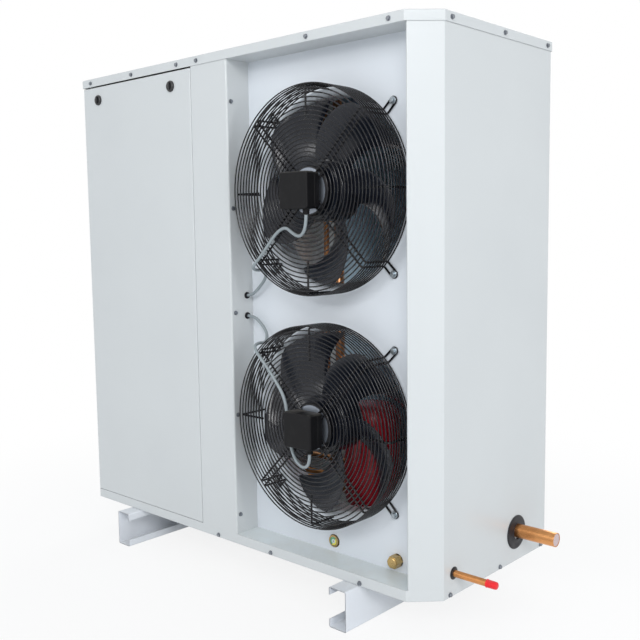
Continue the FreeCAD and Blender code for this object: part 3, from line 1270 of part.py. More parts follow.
def header(x, y, feeds, radius, tube_end):
    """Upright manifold with one stub to each circuit."""
    low = feeds[0] - size("header_end")
    bar = Part.makeCylinder(radius, feeds[-1] + size("header_end") - low, Vector(x, y, low))
    stubs = [Part.makeCylinder(size("tube_r"), tube_end - x, Vector(x, y, z),
                               axis_vector["x"]) for z in feeds]
    return bar.fuse(stubs).removeSplitter()


def coil_guard():
    """Welded wire mesh behind the coil."""
    wire = size("mesh_wire_r")
    near = num(coil_left)
    far = num(coil_right)
    low = num(fin_low)
    tall = num(fin_high) - low
    cross_y = num(coil_back) + size("sheet_t") + wire
    upright_y = cross_y + 2 * wire
    count = int((far - near) // size("mesh_pitch"))
    step = (far - near - 4 * wire) / count
    solids = [Part.makeCylinder(wire, tall, Vector(near + 2 * wire + i * step, upright_y, low))
              for i in range(count + 1)]
    rows = int(size("mesh_rows"))
    gap = (tall - 2 * size("mesh_edge")) / (rows - 1)
    solids += [Part.makeCylinder(wire, far - near, Vector(near, cross_y, low + size("mesh_edge") + i * gap),
                                 axis_vector["x"]) for i in range(rows)]
    keep(shaped("CoilGuard", Part.makeCompound(solids)), "coil_guard")


def discharge_line():
    """From the compressor through the partition, up and back to the gas header."""
    rows, heights = tube_rows()
    z = num(base) + size("discharge_z")
    y = num(discharge_y)
    riser_x = num(partition_right) + size("discharge_x")
    top_z = num(base) + size("discharge_top")
    header_x = num(coil_left) - size("gas_header_out")
    turn = math.radians(size("discharge_port_turn"))
    away = Vector(math.cos(turn), -math.sin(turn), 0)
    middle = Vector(compressor.x, compressor.y, z)
    route = [
        middle + away * (size("comp_r") + size("running_gap")),
        middle + away * ((compressor.y - y) / math.sin(turn)),
        Vector(riser_x, y, z),
        Vector(riser_x, y, top_z),
        Vector(header_x, y + size("discharge_lead_in"), top_z),
        Vector(header_x, rows[1] - size("gas_header_r") - size("running_gap"), top_z),
    ]
    keep(shaped("Discharge", pipe(route, size("discharge_r"), size("discharge_bend"))[0]), "discharge_pipe")


def condensate_line():
    """From the liquid header's foot forward, and into the receiver's side."""
    rows, heights = tube_rows()
    per_group = len(heights) // int(size("tube_groups"))
    x = num(coil_left) - size("liquid_header_out")
    z = num(base) + size("receiver_in_z")
    route = [
        Vector(x, rows[0], heights[per_group - 1] - size("header_end") - size("running_gap")),
        Vector(x, rows[0], z),
        Vector(x, receiver.y, z),
        Vector(receiver.x - size("receiver_r") - size("running_gap"), receiver.y, z),
    ]
    keep(shaped("Condensate", pipe(route, size("liquid_r"), size("liquid_bend"))[0]), "condensate_pipe")


def compressor_set():
    """Shell on a base plate, which rubber mounts carry on the tray."""
    mount_h = size("mount_h")
    plate_t = size("comp_foot_t")
    half = size("comp_foot_pitch") / 2
    wide = size("comp_foot_w")
    spots = [compressor + Vector(sx * half, sy * half, 0) for sx in (-1, 1) for sy in (-1, 1)]
    bolt_r = size("mount_bolt_r")
    gap = size("screw_clear")
    lift = Vector(0, 0, mount_h)
    shell = Part.makeCylinder(size("comp_r"), size("comp_h"), compressor + Vector(0, 0, mount_h + plate_t))
    rims = [edge for edge in shell.Edges if len(edge.Vertexes) == 1]
    keep(shaped("CompressorShell", shell.makeFillet(size("comp_dome"), rims)), "compressor_shell")
    plate = Part.makeBox(wide, wide, plate_t, compressor + lift - Vector(wide / 2, wide / 2, 0))
    holes = [Part.makeCylinder(bolt_r + gap, plate_t, spot + lift) for spot in spots]
    keep(shaped("CompressorPlate", plate.cut(holes)), "compressor_base_plate")
    rubbers = [Part.makeCylinder(size("mount_r"), mount_h, spot).cut(
        Part.makeCylinder(bolt_r + gap, mount_h, spot)) for spot in spots]
    keep(shaped("RubberMounts", Part.makeCompound(rubbers)), "compressor_rubber_mounts")
    bolts = []
    for spot in spots:
        head = hexagon(size("mount_bolt_w"), size("mount_bolt_t"), spot + lift + Vector(0, 0, plate_t),
                       axis_vector["z"])
        shank = Part.makeCylinder(bolt_r, mount_h + plate_t, spot)
        bolts.append(head.fuse(shank).removeSplitter())
    keep(shaped("MountBolts", Part.makeCompound(bolts)), "compressor_mount_bolts")
    box = Part.makeBox(size("comp_box_w"), size("comp_box_t") + size("comp_r") / 2, size("comp_box_h"),
                       Vector(compressor.x - size("comp_box_w") / 2,
                              compressor.y - size("comp_r") - size("comp_box_t"),
                              num(base) + size("comp_box_z")))
    outer = Part.makeCylinder(size("comp_r") + size("running_gap"), 3 * size("comp_h"),
                              compressor - Vector(0, 0, size("comp_h")))
    keep(shaped("CompressorBox", box.cut(outer)), "compressor_terminal_cover")


def electrical_box():
    """Open box on the partition, with a lipped cover on its front."""
    x = f"({partition_x} - Sizes.ebox_w)"
    y = f"({front} + Sizes.ebox_y)"
    z = f"({base} + Sizes.ebox_z)"
    shell = block("EboxShell", x, y, z, "Sizes.ebox_w", "Sizes.ebox_t", "Sizes.ebox_h")
    room = block("EboxRoom", f"{x} + {thick}", f"{y} - {thick}", f"{z} + {thick}",
                 f"Sizes.ebox_w - 2 * {thick}",
                 "Sizes.ebox_t", f"Sizes.ebox_h - 2 * {thick}")
    keep(without("Ebox", shell, [room]), "electrical_box")
    keep(block("EboxCover", x, f"{y} - {thick}", f"{z} - Sizes.ebox_lap", "Sizes.ebox_w", thick,
               "Sizes.ebox_h + 2 * Sizes.ebox_lap"), "electrical_box_cover")


def cabinet_screws():
    solids = [screw(site, size("screw_shank_l")) for places in sites.values() for site in places]
    keep(shaped("CabinetScrews", Part.makeCompound(solids)), "cabinet_screws")


base_tray()
foot_channel("left_foot_channel", 1)
foot_channel("right_foot_channel", -1)
top_cover()
recess_ceiling()
centre_post()
left_side_panel()
right_side_panel()
rear_panel()
partition_wall()
access_panel()
for lock_name in lock_x:
    panel_lock(lock_name)
fan_plate()
straps = []
for fan_name, fan_height in fan_z.items():
    fan_guard(fan_name, fan_height)
    fan_motor(fan_name, fan_height)
    impeller(fan_name, fan_height)
    terminal_box(fan_name, fan_height)
    straps += fan_lead(fan_name, fan_height)
keep(shaped("LeadTies", Part.makeCompound(straps)), "lead_ties")
guard_screws()
lead_grommets()
suction_line()
liquid_line()
pipe_cap()
filter_drier()
sight_glass()
service_valve()
receiver_tank()
coil()
coil_guard()
discharge_line()
condensate_line()
compressor_set()
electrical_box()
cabinet_screws()
doc.recompute()

for item in doc.Objects:
    if "Invalid" in item.State or "Error" in item.State:
        raise RuntimeError(f"{item.Label} failed: {item.State}")
for node in nodes:
    if node.Shape.isNull() or not node.Shape.isValid():
        raise RuntimeError(f"{node.Label} has no valid shape")
for node in nodes:
    node.Shape.exportStep(f"parts/{node.Label}.step")
print(len(nodes), "sub-parts written")
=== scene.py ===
import bmesh
import bpy
import math
from mathutils import Matrix, Vector
from mathutils.geometry import tessellate_polygon


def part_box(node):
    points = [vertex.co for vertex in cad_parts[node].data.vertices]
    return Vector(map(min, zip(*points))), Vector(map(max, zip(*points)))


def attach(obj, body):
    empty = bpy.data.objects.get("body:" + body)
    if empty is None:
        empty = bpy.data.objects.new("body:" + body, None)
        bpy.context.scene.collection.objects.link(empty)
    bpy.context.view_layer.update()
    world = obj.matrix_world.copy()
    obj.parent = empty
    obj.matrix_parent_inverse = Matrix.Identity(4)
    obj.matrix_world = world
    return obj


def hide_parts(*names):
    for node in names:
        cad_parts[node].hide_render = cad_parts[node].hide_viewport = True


# Refrigeration condensing unit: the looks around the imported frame.
# Metres, +Z up, the fans face -Y, the pipe stubs leave on +X.
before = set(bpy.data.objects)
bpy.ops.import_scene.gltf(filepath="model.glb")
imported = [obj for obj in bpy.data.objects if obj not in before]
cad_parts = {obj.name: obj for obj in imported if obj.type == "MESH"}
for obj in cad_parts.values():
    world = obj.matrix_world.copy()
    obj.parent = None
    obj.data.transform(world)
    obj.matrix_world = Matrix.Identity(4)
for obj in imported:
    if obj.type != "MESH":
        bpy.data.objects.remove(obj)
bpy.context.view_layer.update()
print("frame loaded:", len(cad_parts), "nodes")


# camera and light

photoView = {
    "place": (1.7290, -1.7743, 0.9417),
    "yaw": 42.55,            # degrees, turned left from +Y
    "pitch": 5.99,           # degrees down
    "roll": -0.77,
    "focalPixels": 866.5,
    "photoPixels": 640,
    "sensor": 36.0,
}


def buildCamera(view):
    yaw, pitch, roll = (math.radians(view[name]) for name in ("yaw", "pitch", "roll"))
    ahead = Vector((-math.sin(yaw) * math.cos(pitch), math.cos(yaw) * math.cos(pitch), -math.sin(pitch)))
    level = Vector((math.cos(yaw), math.sin(yaw), 0))
    upright = level.cross(ahead)
    right = level * math.cos(roll) + upright * math.sin(roll)
    up = upright * math.cos(roll) - level * math.sin(roll)
    data = bpy.data.cameras.new("photoCamera")
    data.sensor_width = view["sensor"]
    data.lens = view["focalPixels"] / view["photoPixels"] * view["sensor"]
    camera = bpy.data.objects.new("photoCamera", data)
    turn = Matrix((right, up, -ahead)).transposed().to_4x4()
    camera.matrix_world = Matrix.Translation(view["place"]) @ turn
    bpy.context.collection.objects.link(camera)
    bpy.context.scene.camera = camera


buildCamera(photoView)

lamps = {
    "keySoftbox": {"place": (3.2, -3.4, 3.0), "aim": (0.1, 0, 0.75), "size": (1.9, 1.5), "power": 76},
    "frontFill": {"place": (-1.9, -4.2, 1.9), "aim": (-0.1, 0, 0.7), "size": (3.0, 2.4), "power": 4},
    "bladeSoftbox": {"place": (0.2, -4.2, 2.3), "aim": (0.3, -0.2, 0.7), "size": (0.9, 0.8), "power": 28},
    "windowStrip": {"place": (4.1, -1.2, 1.3), "aim": (0.3, -0.2, 0.75), "size": (0.35, 1.3), "power": 24},
    "rightStrip": {"place": (4.2, 0.7, 2.0), "aim": (0.6, 0.1, 0.8), "size": (2.2, 1.8), "power": 6},
    "backFill": {"place": (-1.2, 3.8, 2.6), "aim": (0, 0, 0.7), "size": (3.0, 2.4), "power": 60},
    "bayGlow": {"place": (0.16, 0.0, 0.72), "aim": (-0.1, 0.03, 0.68), "size": (0.25, 0.2), "power": 0.7},
}


def buildLamps(sets):
    for name, item in sets.items():
        data = bpy.data.lights.new(name, "AREA")
        data.shape = "RECTANGLE"
        data.size, data.size_y = item["size"]
        data.energy = item["power"]
        lamp = bpy.data.objects.new(name, data)
        lamp.location = item["place"]
        aim = Vector(item["aim"]) - Vector(item["place"])
        lamp.rotation_euler = aim.to_track_quat("-Z", "Y").to_euler()
        bpy.context.collection.objects.link(lamp)


buildLamps(lamps)


# shader nodes

def plug(tree, value, socket):
    # links another node's output, or sets a plain value
    if isinstance(value, bpy.types.NodeSocket):
        tree.links.new(value, socket)
    else:
        socket.default_value = value


def addNode(tree, kind, inputs=(), **settings):
    node = tree.nodes.new("ShaderNode" + kind)
    for label, value in settings.items():
        setattr(node, label, value)
    for label, value in dict(inputs).items():
        plug(tree, value, node.inputs[label])
    return node


def mathNode(tree, operation, first, second, clamp=False):
    return addNode(tree, "Math", {0: first, 1: second}, operation=operation, use_clamp=clamp).outputs[0]


def times(tree, first, second):
    return mathNode(tree, "MULTIPLY", first, second)


def vectorNode(tree, operation, first, second=(0, 0, 0)):
    return addNode(tree, "VectorMath", {0: first, 1: second}, operation=operation).outputs


def noiseNode(tree, vector, scale, detail, rough):
    inputs = {"Vector": vector, "Scale": scale, "Detail": detail, "Roughness": rough}
    return addNode(tree, "TexNoise", inputs).outputs["Fac"]


def rangeNode(tree, value, low, high, toLow=0.0, toHigh=1.0, **settings):
    inputs = {"Value": value, "From Min": low, "From Max": high, "To Min": toLow, "To Max": toHigh}
    return addNode(tree, "MapRange", inputs, clamp=True, **settings).outputs["Result"]


def objectSpace(tree):
    return addNode(tree, "TexCoord").outputs["Object"]


def mixColour(tree, mask, first, second, share=1.0):
    # first where the mask is 0, second where it is 1; share weakens the mask
    if share < 1:
        mask = times(tree, mask, share)
    node = addNode(tree, "Mix", {"Factor": mask}, data_type="RGBA")
    for index, colour in ((6, first), (7, second)):
        plug(tree, (*colour, 1) if isinstance(colour, tuple) else colour, node.inputs[index])
    return node.outputs[2]


def mixShaders(tree, share, first, second, target):
    mix = addNode(tree, "MixShader", {"Fac": share, 1: first.outputs[0], 2: second.outputs[0]})
    addNode(tree, target, {"Surface": mix.outputs[0]})


def raysToScreen(tree):
    # 1 for camera, glossy and transmission rays, 0 for the light that reaches the object
    path = addNode(tree, "LightPath").outputs
    seen = mathNode(tree, "MAXIMUM", path["Is Camera Ray"], path["Is Glossy Ray"])
    return mathNode(tree, "MAXIMUM", seen, path["Is Transmission Ray"])


# white studio

studio = {
    "ambient": 0.65,
    "ambientTint": (0.93, 0.97, 1.0, 1),
    "screen": 1.0,
    "white": (1, 1, 1, 1),
    "floorTint": (0.86, 0.87, 0.88, 1),
    "floorReach": 14.0,
    "floorFade": (0.7, 2.0, 0.84, 1.0),      # metres from the middle, and how much of the floor glows there
}


def buildBackdrop(look):
    world = bpy.data.worlds.new("studioWorld")
    world.use_nodes = True
    tree = world.node_tree
    tree.nodes.clear()
    ambient = addNode(tree, "Background", {"Color": look["ambientTint"], "Strength": look["ambient"]})
    screen = addNode(tree, "Background", {"Color": look["white"], "Strength": look["screen"]})
    mixShaders(tree, raysToScreen(tree), ambient, screen, "OutputWorld")
    bpy.context.scene.world = world


def buildFloor(look):
    reach = look["floorReach"]
    mesh = bpy.data.meshes.new("studioFloor")
    corners = [(-reach, -reach, 0), (reach, -reach, 0), (reach, reach, 0), (-reach, reach, 0)]
    mesh.from_pydata(corners, [], [(0, 1, 2, 3)])
    floor = bpy.data.objects.new("studioFloor", mesh)
    bpy.context.collection.objects.link(floor)
    material = bpy.data.materials.new("floorPale")
    material.use_nodes = True
    tree = material.node_tree
    tree.nodes.clear()
    paper = addNode(tree, "BsdfDiffuse", {"Color": look["floorTint"]})
    glow = addNode(tree, "Emission", {"Color": look["white"]})
    # the shadow stays near the object, and further off the floor is as white as the backdrop
    away = vectorNode(tree, "LENGTH", addNode(tree, "NewGeometry").outputs["Position"])["Value"]
    fade = rangeNode(tree, away, *look["floorFade"], interpolation_type="SMOOTHSTEP")
    mixShaders(tree, times(tree, raysToScreen(tree), fade), paper, glow, "OutputMaterial")
    mesh.materials.append(material)


buildBackdrop(studio)
buildFloor(studio)
bpy.context.scene.view_settings.view_transform = "Standard"
print("camera, lamps and studio ready")


# shared shader effects

def newEffect(name, outputs, **inputs):
    # empty node group with number inputs, or vector ones where the value is a tuple
    tree = bpy.data.node_groups.new(name, "ShaderNodeTree")
    for label, value in inputs.items():
        kind = "NodeSocketVector" if isinstance(value, tuple) else "NodeSocketFloat"
        tree.interface.new_socket(name=label, in_out="INPUT", socket_type=kind).default_value = value
    for label in outputs:
        tree.interface.new_socket(name=label, in_out="OUTPUT", socket_type="NodeSocketFloat")
    return tree, tree.nodes.new("NodeGroupInput").outputs, tree.nodes.new("NodeGroupOutput").inputs


def makeEdgeWear():
    # rubbed edges: where a rounded normal leaves the true one, broken up by noise
    tree, given, made = newEffect("edgeWear", ["Mask"], Width=0.002, Breakup=60.0)
    rounded = addNode(tree, "Bevel", {"Radius": given["Width"]}, samples=4).outputs["Normal"]
    dot = vectorNode(tree, "DOT_PRODUCT", rounded, addNode(tree, "NewGeometry").outputs["Normal"])["Value"]
    edge = rangeNode(tree, mathNode(tree, "SUBTRACT", 1.0, dot, clamp=True), 0.03, 0.22)
    patch = rangeNode(tree, noiseNode(tree, objectSpace(tree), given["Breakup"], 5.0, 0.7), 0.46, 0.62)
    plug(tree, times(tree, edge, patch), made["Mask"])


def makeDustFilm():
    # fine dust on what faces up, and a little low down on upright faces
    tree, given, made = newEffect("dustFilm", ["Mask"], Amount=0.3, Scale=9.0)
    normal = addNode(tree, "SeparateXYZ", {0: addNode(tree, "NewGeometry").outputs["Normal"]})
    vector = objectSpace(tree)
    place = addNode(tree, "SeparateXYZ", {0: vector})
    facing = rangeNode(tree, normal.outputs["Z"], 0.35, 1.0)
    low = rangeNode(tree, place.outputs["Z"], 0.42, 0.08, 0.0, 0.35)
    patch = rangeNode(tree, noiseNode(tree, vector, given["Scale"], 6.0, 0.62), 0.36, 0.7)
    lying = times(tree, mathNode(tree, "MAXIMUM", facing, low), patch)
    plug(tree, times(tree, lying, given["Amount"]), made["Mask"])


def makeOrangePeel():
    # powder coat: fine peel over the slow waves of rolled sheet
    tree, given, made = newEffect("orangePeel", ["Height", "Cloud"], Peel=900.0, Wave=2.2)
    vector = objectSpace(tree)
    fine = times(tree, noiseNode(tree, vector, given["Peel"], 2.0, 0.5), 0.0004)
    slow = times(tree, noiseNode(tree, vector, given["Wave"], 2.0, 0.4), 0.012)
    plug(tree, mathNode(tree, "ADD", fine, slow), made["Height"])
    plug(tree, noiseNode(tree, vector, 3.0, 3.0, 0.5), made["Cloud"])


def makeMetalGrain():
    # drawn or turned lines along one direction, with darker patches
    tree, given, made = newEffect("metalGrain", ["Height", "Lines", "Tarnish"], Stretch=(8, 900, 900), Patch=12.0)
    vector = objectSpace(tree)
    drawn = addNode(tree, "Mapping", {"Vector": vector, "Scale": given["Stretch"]}).outputs["Vector"]
    lines = noiseNode(tree, drawn, 1.0, 3.0, 0.6)
    plug(tree, times(tree, lines, 0.0002), made["Height"])
    plug(tree, lines, made["Lines"])
    plug(tree, rangeNode(tree, noiseNode(tree, vector, given["Patch"], 7.0, 0.66), 0.4, 0.72), made["Tarnish"])


def makeMouldGrain():
    # spark-eroded mould surface with a few handling marks
    tree, given, made = newEffect("mouldGrain", ["Height", "Marks"], Scale=1400.0)
    vector = objectSpace(tree)
    grain = noiseNode(tree, vector, given["Scale"], 3.0, 0.6)
    plug(tree, times(tree, grain, 0.00025), made["Height"])
    plug(tree, rangeNode(tree, noiseNode(tree, vector, 26.0, 6.0, 0.7), 0.5, 0.68), made["Marks"])


def makeZincSpangle():
    # zinc crystals of galvanised sheet
    tree, given, made = newEffect("zincSpangle", ["Tone", "Height"], Scale=120.0)
    vector = objectSpace(tree)
    cells = addNode(tree, "TexVoronoi", {"Vector": vector, "Scale": given["Scale"]}).outputs
    crystal = addNode(tree, "SeparateColor", {0: cells["Color"]}).outputs[0]
    cloud = noiseNode(tree, vector, 18.0, 4.0, 0.6)
    tone = mathNode(tree, "ADD", times(tree, crystal, 0.5), times(tree, cloud, 0.5))
    plug(tree, tone, made["Tone"])
    plug(tree, times(tree, cells["Distance"], 0.0002), made["Height"])


for makeEffect in (makeEdgeWear, makeDustFilm, makeOrangePeel, makeMetalGrain, makeMouldGrain, makeZincSpangle):
    makeEffect()


# finishes

def startMaterial(name, roughness, metallic=0.0, shine=0.5):
    material = bpy.data.materials.new(name)
    material.use_nodes = True
    tree = material.node_tree
    for label, value in (("Roughness", roughness), ("Metallic", metallic), ("Specular IOR Level", shine)):
        tree.nodes["Principled BSDF"].inputs[label].default_value = value
    return material, tree


def effect(tree, name, **values):
    return addNode(tree, "Group", values, node_tree=bpy.data.node_groups[name]).outputs


def dusted(tree, colour, tint, **values):
    return mixColour(tree, effect(tree, "dustFilm", **values)["Mask"], colour, tint)


def dress(material, height, strength, colour, sockets=()):
    # bump from a height, colour and the other sockets of the shader
    tree = material.node_tree
    bump = addNode(tree, "Bump", {"Strength": strength, "Distance": 1.0, "Height": height})
    values = {"Base Color": colour, "Normal": bump.outputs["Normal"], **dict(sockets)}
    for label, value in values.items():
        plug(tree, value, tree.nodes["Principled BSDF"].inputs[label])
    return material


dust = {"paint": (0.60, 0.58, 0.53), "plastic": (0.42, 0.40, 0.37), "zinc": (0.45, 0.43, 0.40),
        "fins": (0.5, 0.49, 0.46)}


def paintedSheet(name, colour, shade, rough, film, wear=(0.42, 0.43, 0.43), peel=900.0, wave=2.2):
    # powder coated sheet steel
    material, tree = startMaterial(name, rough)
    paint = effect(tree, "orangePeel", Peel=peel, Wave=wave)
    base = mixColour(tree, rangeNode(tree, paint["Cloud"], 0.3, 0.75), colour, shade)
    edge = effect(tree, "edgeWear", Width=0.0022, Breakup=45.0)
    worn = mixColour(tree, edge["Mask"], dusted(tree, base, dust["paint"], Amount=film), wear, 0.35)
    gloss = rangeNode(tree, paint["Cloud"], 0.3, 0.8, rough - 0.02, rough + 0.04)
    return dress(material, paint["Height"], 0.25, worn, {"Roughness": gloss})


def glossWire(name, colour, rough, shine):
    # dipped wire: gloss black with slight runs and grey rub marks
    material, tree = startMaterial(name, rough, 0.0, shine)
    runs = effect(tree, "orangePeel", Peel=420.0, Wave=30.0)
    rubs = effect(tree, "mouldGrain", Scale=700.0)
    marked = mixColour(tree, rubs["Marks"], colour, (0.16, 0.17, 0.18), 0.05)
    gloss = rangeNode(tree, runs["Cloud"], 0.3, 0.8, rough, rough + 0.08)
    return dress(material, rubs["Height"], 0.12, marked, {"Roughness": gloss})


def moulded(name, colour, mark, rough, grain=1400.0, strength=0.5, sheen=0.0, shine=0.5):
    # moulded plastic or rubber
    material, tree = startMaterial(name, rough, 0.0, shine)
    skin = effect(tree, "mouldGrain", Scale=grain)
    marked = mixColour(tree, skin["Marks"], colour, mark, 0.35)
    gloss = rangeNode(tree, skin["Marks"], 0.0, 1.0, rough, rough - 0.1)
    return dress(material, skin["Height"], strength, dusted(tree, marked, dust["plastic"], Amount=0.25, Scale=20.0),
                 {"Roughness": gloss, "Sheen Weight": sheen})


def bareMetal(name, colour, tarnish, rough, stretch, patch):
    # uncoated metal with drawn or turned lines and tarnish
    material, tree = startMaterial(name, rough, 1.0)
    grain = effect(tree, "metalGrain", Stretch=stretch, Patch=patch)
    tone = mixColour(tree, grain["Tarnish"], colour, tarnish, 0.7)
    gloss = rangeNode(tree, grain["Lines"], 0.3, 0.7, rough - 0.06, rough + 0.1)
    return dress(material, grain["Height"], 0.35, tone, {"Roughness": gloss})


def castFlange(name, colour, tarnish, black, rough, reach):
    # bare cast face round the shaft, black paint on the rim
    material, tree = startMaterial(name, rough, 1.0)
    grain = effect(tree, "metalGrain", Stretch=(260, 260, 260), Patch=22.0)
    flat = vectorNode(tree, "MULTIPLY", objectSpace(tree), (1, 0, 1))["Vector"]
    spans = []
    for node in ("upper_motor_stator", "lower_motor_stator"):
        low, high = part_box(node)
        middle = ((low.x + high.x) / 2, 0, (low.z + high.z) / 2)
        spans.append(vectorNode(tree, "DISTANCE", flat, middle)["Value"])
    rim = rangeNode(tree, mathNode(tree, "MINIMUM", *spans), reach, reach + 0.001)
    tone = mixColour(tree, grain["Tarnish"], colour, tarnish, 0.7)
    return dress(material, grain["Height"], 0.9, mixColour(tree, rim, tone, black),
                 {"Metallic": rangeNode(tree, rim, 0.0, 1.0, 1.0, 0.0)})


def zincSheet(name, light, dark, rough):
    material, tree = startMaterial(name, rough, 0.85)
    zinc = effect(tree, "zincSpangle", Scale=110.0)
    tone = mixColour(tree, rangeNode(tree, zinc["Tone"], 0.2, 0.8), dark, light)
    gloss = rangeNode(tree, zinc["Tone"], 0.2, 0.8, rough - 0.08, rough + 0.1)
    return dress(material, zinc["Height"], 0.3, dusted(tree, tone, dust["zinc"], Amount=0.4), {"Roughness": gloss})


def finStock(name, colour, pale):
    # coated fin stock: blue film with paler patches
    material, tree = startMaterial(name, 0.38, 0.35)
    grain = effect(tree, "metalGrain", Stretch=(900, 20, 20), Patch=7.0)
    tone = mixColour(tree, grain["Tarnish"], colour, pale, 0.5)
    return dress(material, grain["Height"], 0.2, dusted(tree, tone, dust["fins"], Amount=0.2))


def acousticFoam(name, colour, pitShade):
    material, tree = startMaterial(name, 0.95)
    skin = effect(tree, "mouldGrain", Scale=380.0)
    cells = noiseNode(tree, objectSpace(tree), 520.0, 3.0, 0.7)
    height = mathNode(tree, "ADD", skin["Height"], times(tree, cells, 0.0015))
    # the foam's pits get a darker colour: painted shade in the hollows
    return dress(material, height, 0.8, mixColour(tree, rangeNode(tree, cells, 0.42, 0.6), pitShade, colour))


def sightLens(name):
    # glass over a moisture dot, a pale disc and a green and yellow ring
    material, tree = startMaterial(name, 0.08)
    vector = objectSpace(tree)
    low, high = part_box("sight_glass_lens")
    middle = (low + high) / 2
    away = vectorNode(tree, "DISTANCE", vector, middle)["Value"]
    side = vectorNode(tree, "SUBTRACT", vector, middle)["Vector"]
    slant = vectorNode(tree, "DOT_PRODUCT", side, (1, 0, -0.7))["Value"]
    dot = rangeNode(tree, away, 0.0018, 0.0024)
    disc = rangeNode(tree, away, 0.0056, 0.0062)
    edge = rangeNode(tree, away, 0.0102, 0.0106)
    half = rangeNode(tree, slant, 0.0014, 0.0020)
    ring = mixColour(tree, half, (0.10, 0.36, 0.16), (0.74, 0.66, 0.06))
    inner = mixColour(tree, disc, mixColour(tree, dot, (0.03, 0.05, 0.06), (0.60, 0.66, 0.66)), ring)
    grain = effect(tree, "mouldGrain", Scale=300.0)
    return dress(material, grain["Height"], 0.1, mixColour(tree, edge, inner, (0.05, 0.06, 0.05)),
                 {"Coat Weight": 1.0})


# maker, colour, second colour, roughness, and what else the maker takes
finishTable = {
    "cabinetPaint": (paintedSheet, (0.60, 0.625, 0.635), (0.575, 0.60, 0.612), 0.30, 0.16),
    # recess paint: the cabinet paint made lighter and bluer, painted light that offsets the shade in the recess
    "recessPaint": (paintedSheet, (0.73, 0.77, 0.82), (0.70, 0.74, 0.79), 0.30, 0.16),
    # tray paint made lighter and bluer than the cabinet paint: painted light that offsets the shade on the ledge under
    # the recess
    "trayPaint": (paintedSheet, (0.74, 0.80, 0.82), (0.71, 0.77, 0.79), 0.33, 0.4),
    # feet paint made much lighter and bluer: painted light that stands in for the floor's light on the feet in their
    # shadow
    "feetPaint": (paintedSheet, (0.78, 0.81, 0.86), (0.74, 0.77, 0.82), 0.36, 0.4),
    "receiverRed": (paintedSheet, (0.55, 0.012, 0.03), (0.42, 0.01, 0.025), 0.28, 0.3, (0.30, 0.16, 0.14), 420.0, 9.0),
    "drierPaint": (paintedSheet, (0.66, 0.68, 0.70), (0.6, 0.62, 0.64), 0.32, 0.3),
    "shellBlack": (paintedSheet, (0.022, 0.022, 0.024), (0.03, 0.03, 0.032), 0.34, 0.35, (0.12, 0.11, 0.10), 500.0,
                   6.0),
    "guardGloss": (glossWire, (0.003, 0.003, 0.005), 0.10, 0.4),
    # rotor black is tinted blue: a painted bluish sky reflection in its colour
    "rotorBlack": (glossWire, (0.010, 0.013, 0.022), 0.2, 0.6),
    "boxBlack": (moulded, (0.006, 0.006, 0.007), (0.014, 0.014, 0.015), 0.5, 1400.0, 0.5, 0.0, 0.16),
    "lockBlack": (moulded, (0.02, 0.02, 0.022), (0.05, 0.05, 0.05), 0.38),
    "rubberBlack": (moulded, (0.008, 0.008, 0.012), (0.03, 0.028, 0.03), 0.48, 700.0, 0.6, 0.04, 0.25),
    "leadSheath": (moulded, (0.26, 0.30, 0.32), (0.20, 0.23, 0.25), 0.42, 600.0, 0.4),
    "tieNylon": (moulded, (0.30, 0.33, 0.35), (0.24, 0.26, 0.27), 0.36, 900.0),
    "capRed": (moulded, (0.80, 0.012, 0.020), (0.55, 0.01, 0.015), 0.32, 500.0, 0.3, 0.0, 0.35),
    "plugPale": (moulded, (0.56, 0.44, 0.44), (0.44, 0.34, 0.34), 0.40, 500.0, 0.3),
    "copperTube": (bareMetal, (0.73, 0.34, 0.13), (0.42, 0.16, 0.05), 0.27, (14, 700, 700), 16.0),
    "copperRiser": (bareMetal, (0.50, 0.25, 0.12), (0.32, 0.14, 0.07), 0.30, (500, 500, 14), 10.0),
    "brassTurned": (bareMetal, (0.56, 0.40, 0.17), (0.30, 0.21, 0.09), 0.28, (600, 30, 600), 30.0),
    "castSilver": (castFlange, (0.36, 0.40, 0.46), (0.28, 0.31, 0.36), (0.008, 0.008, 0.01), 0.48, 0.054),
    "zincBright": (bareMetal, (0.40, 0.45, 0.49), (0.24, 0.27, 0.29), 0.30, (500, 60, 500), 60.0),
    "zincDull": (bareMetal, (0.27, 0.29, 0.32), (0.17, 0.18, 0.20), 0.42, (500, 60, 500), 60.0),
    "galvanised": (zincSheet, (0.66, 0.69, 0.72), (0.50, 0.53, 0.56), 0.42),
    # fin colour: the real blue coating, made brighter as painted light for the light that comes through the coil from
    # behind
    "finBlue": (finStock, (0.48, 0.61, 0.70), (0.62, 0.72, 0.78)),
    # second colour is painted shade for the foam's pits
    "foamGrey": (acousticFoam, (0.085, 0.085, 0.09), (0.03, 0.03, 0.03)),
    "sightLens": (sightLens,),
}
finishes = {name: make(name, *values) for name, (make, *values) in finishTable.items()}
print("materials:", len(finishes))


# mesh helpers

class Shape:
    # collects vertices and faces of one piece
    def __init__(self):
        self.verts = []
        self.faces = []

    def add(self, verts, faces):
        start = len(self.verts)
        self.verts += [Vector(v) for v in verts]
        self.faces += [tuple(i + start for i in face) for face in faces]

    def rings(self, rings, closedRing=True, loop=False, caps=False):
        start = len(self.verts)
        count = len(rings[0])
        for ring in rings:
            self.verts += [Vector(v) for v in ring]
        for i in range(len(rings) if loop else len(rings) - 1):
            low = start + i * count
            high = start + ((i + 1) % len(rings)) * count
            for j in range(count if closedRing else count - 1):
                k = (j + 1) % count
                self.faces.append((low + j, low + k, high + k, high + j))
        if caps:
            self.faces.append(tuple(start + j for j in reversed(range(count))))
            self.faces.append(tuple(start + (len(rings) - 1) * count + j for j in range(count)))


mesher = {"merge": 1e-6, "smallestRadius": 1e-5, "smallestCorner": 0.0004, "straight": 0.01, "runShare": 0.45,
          "bevelAngle": 40, "bevelSegments": 3}


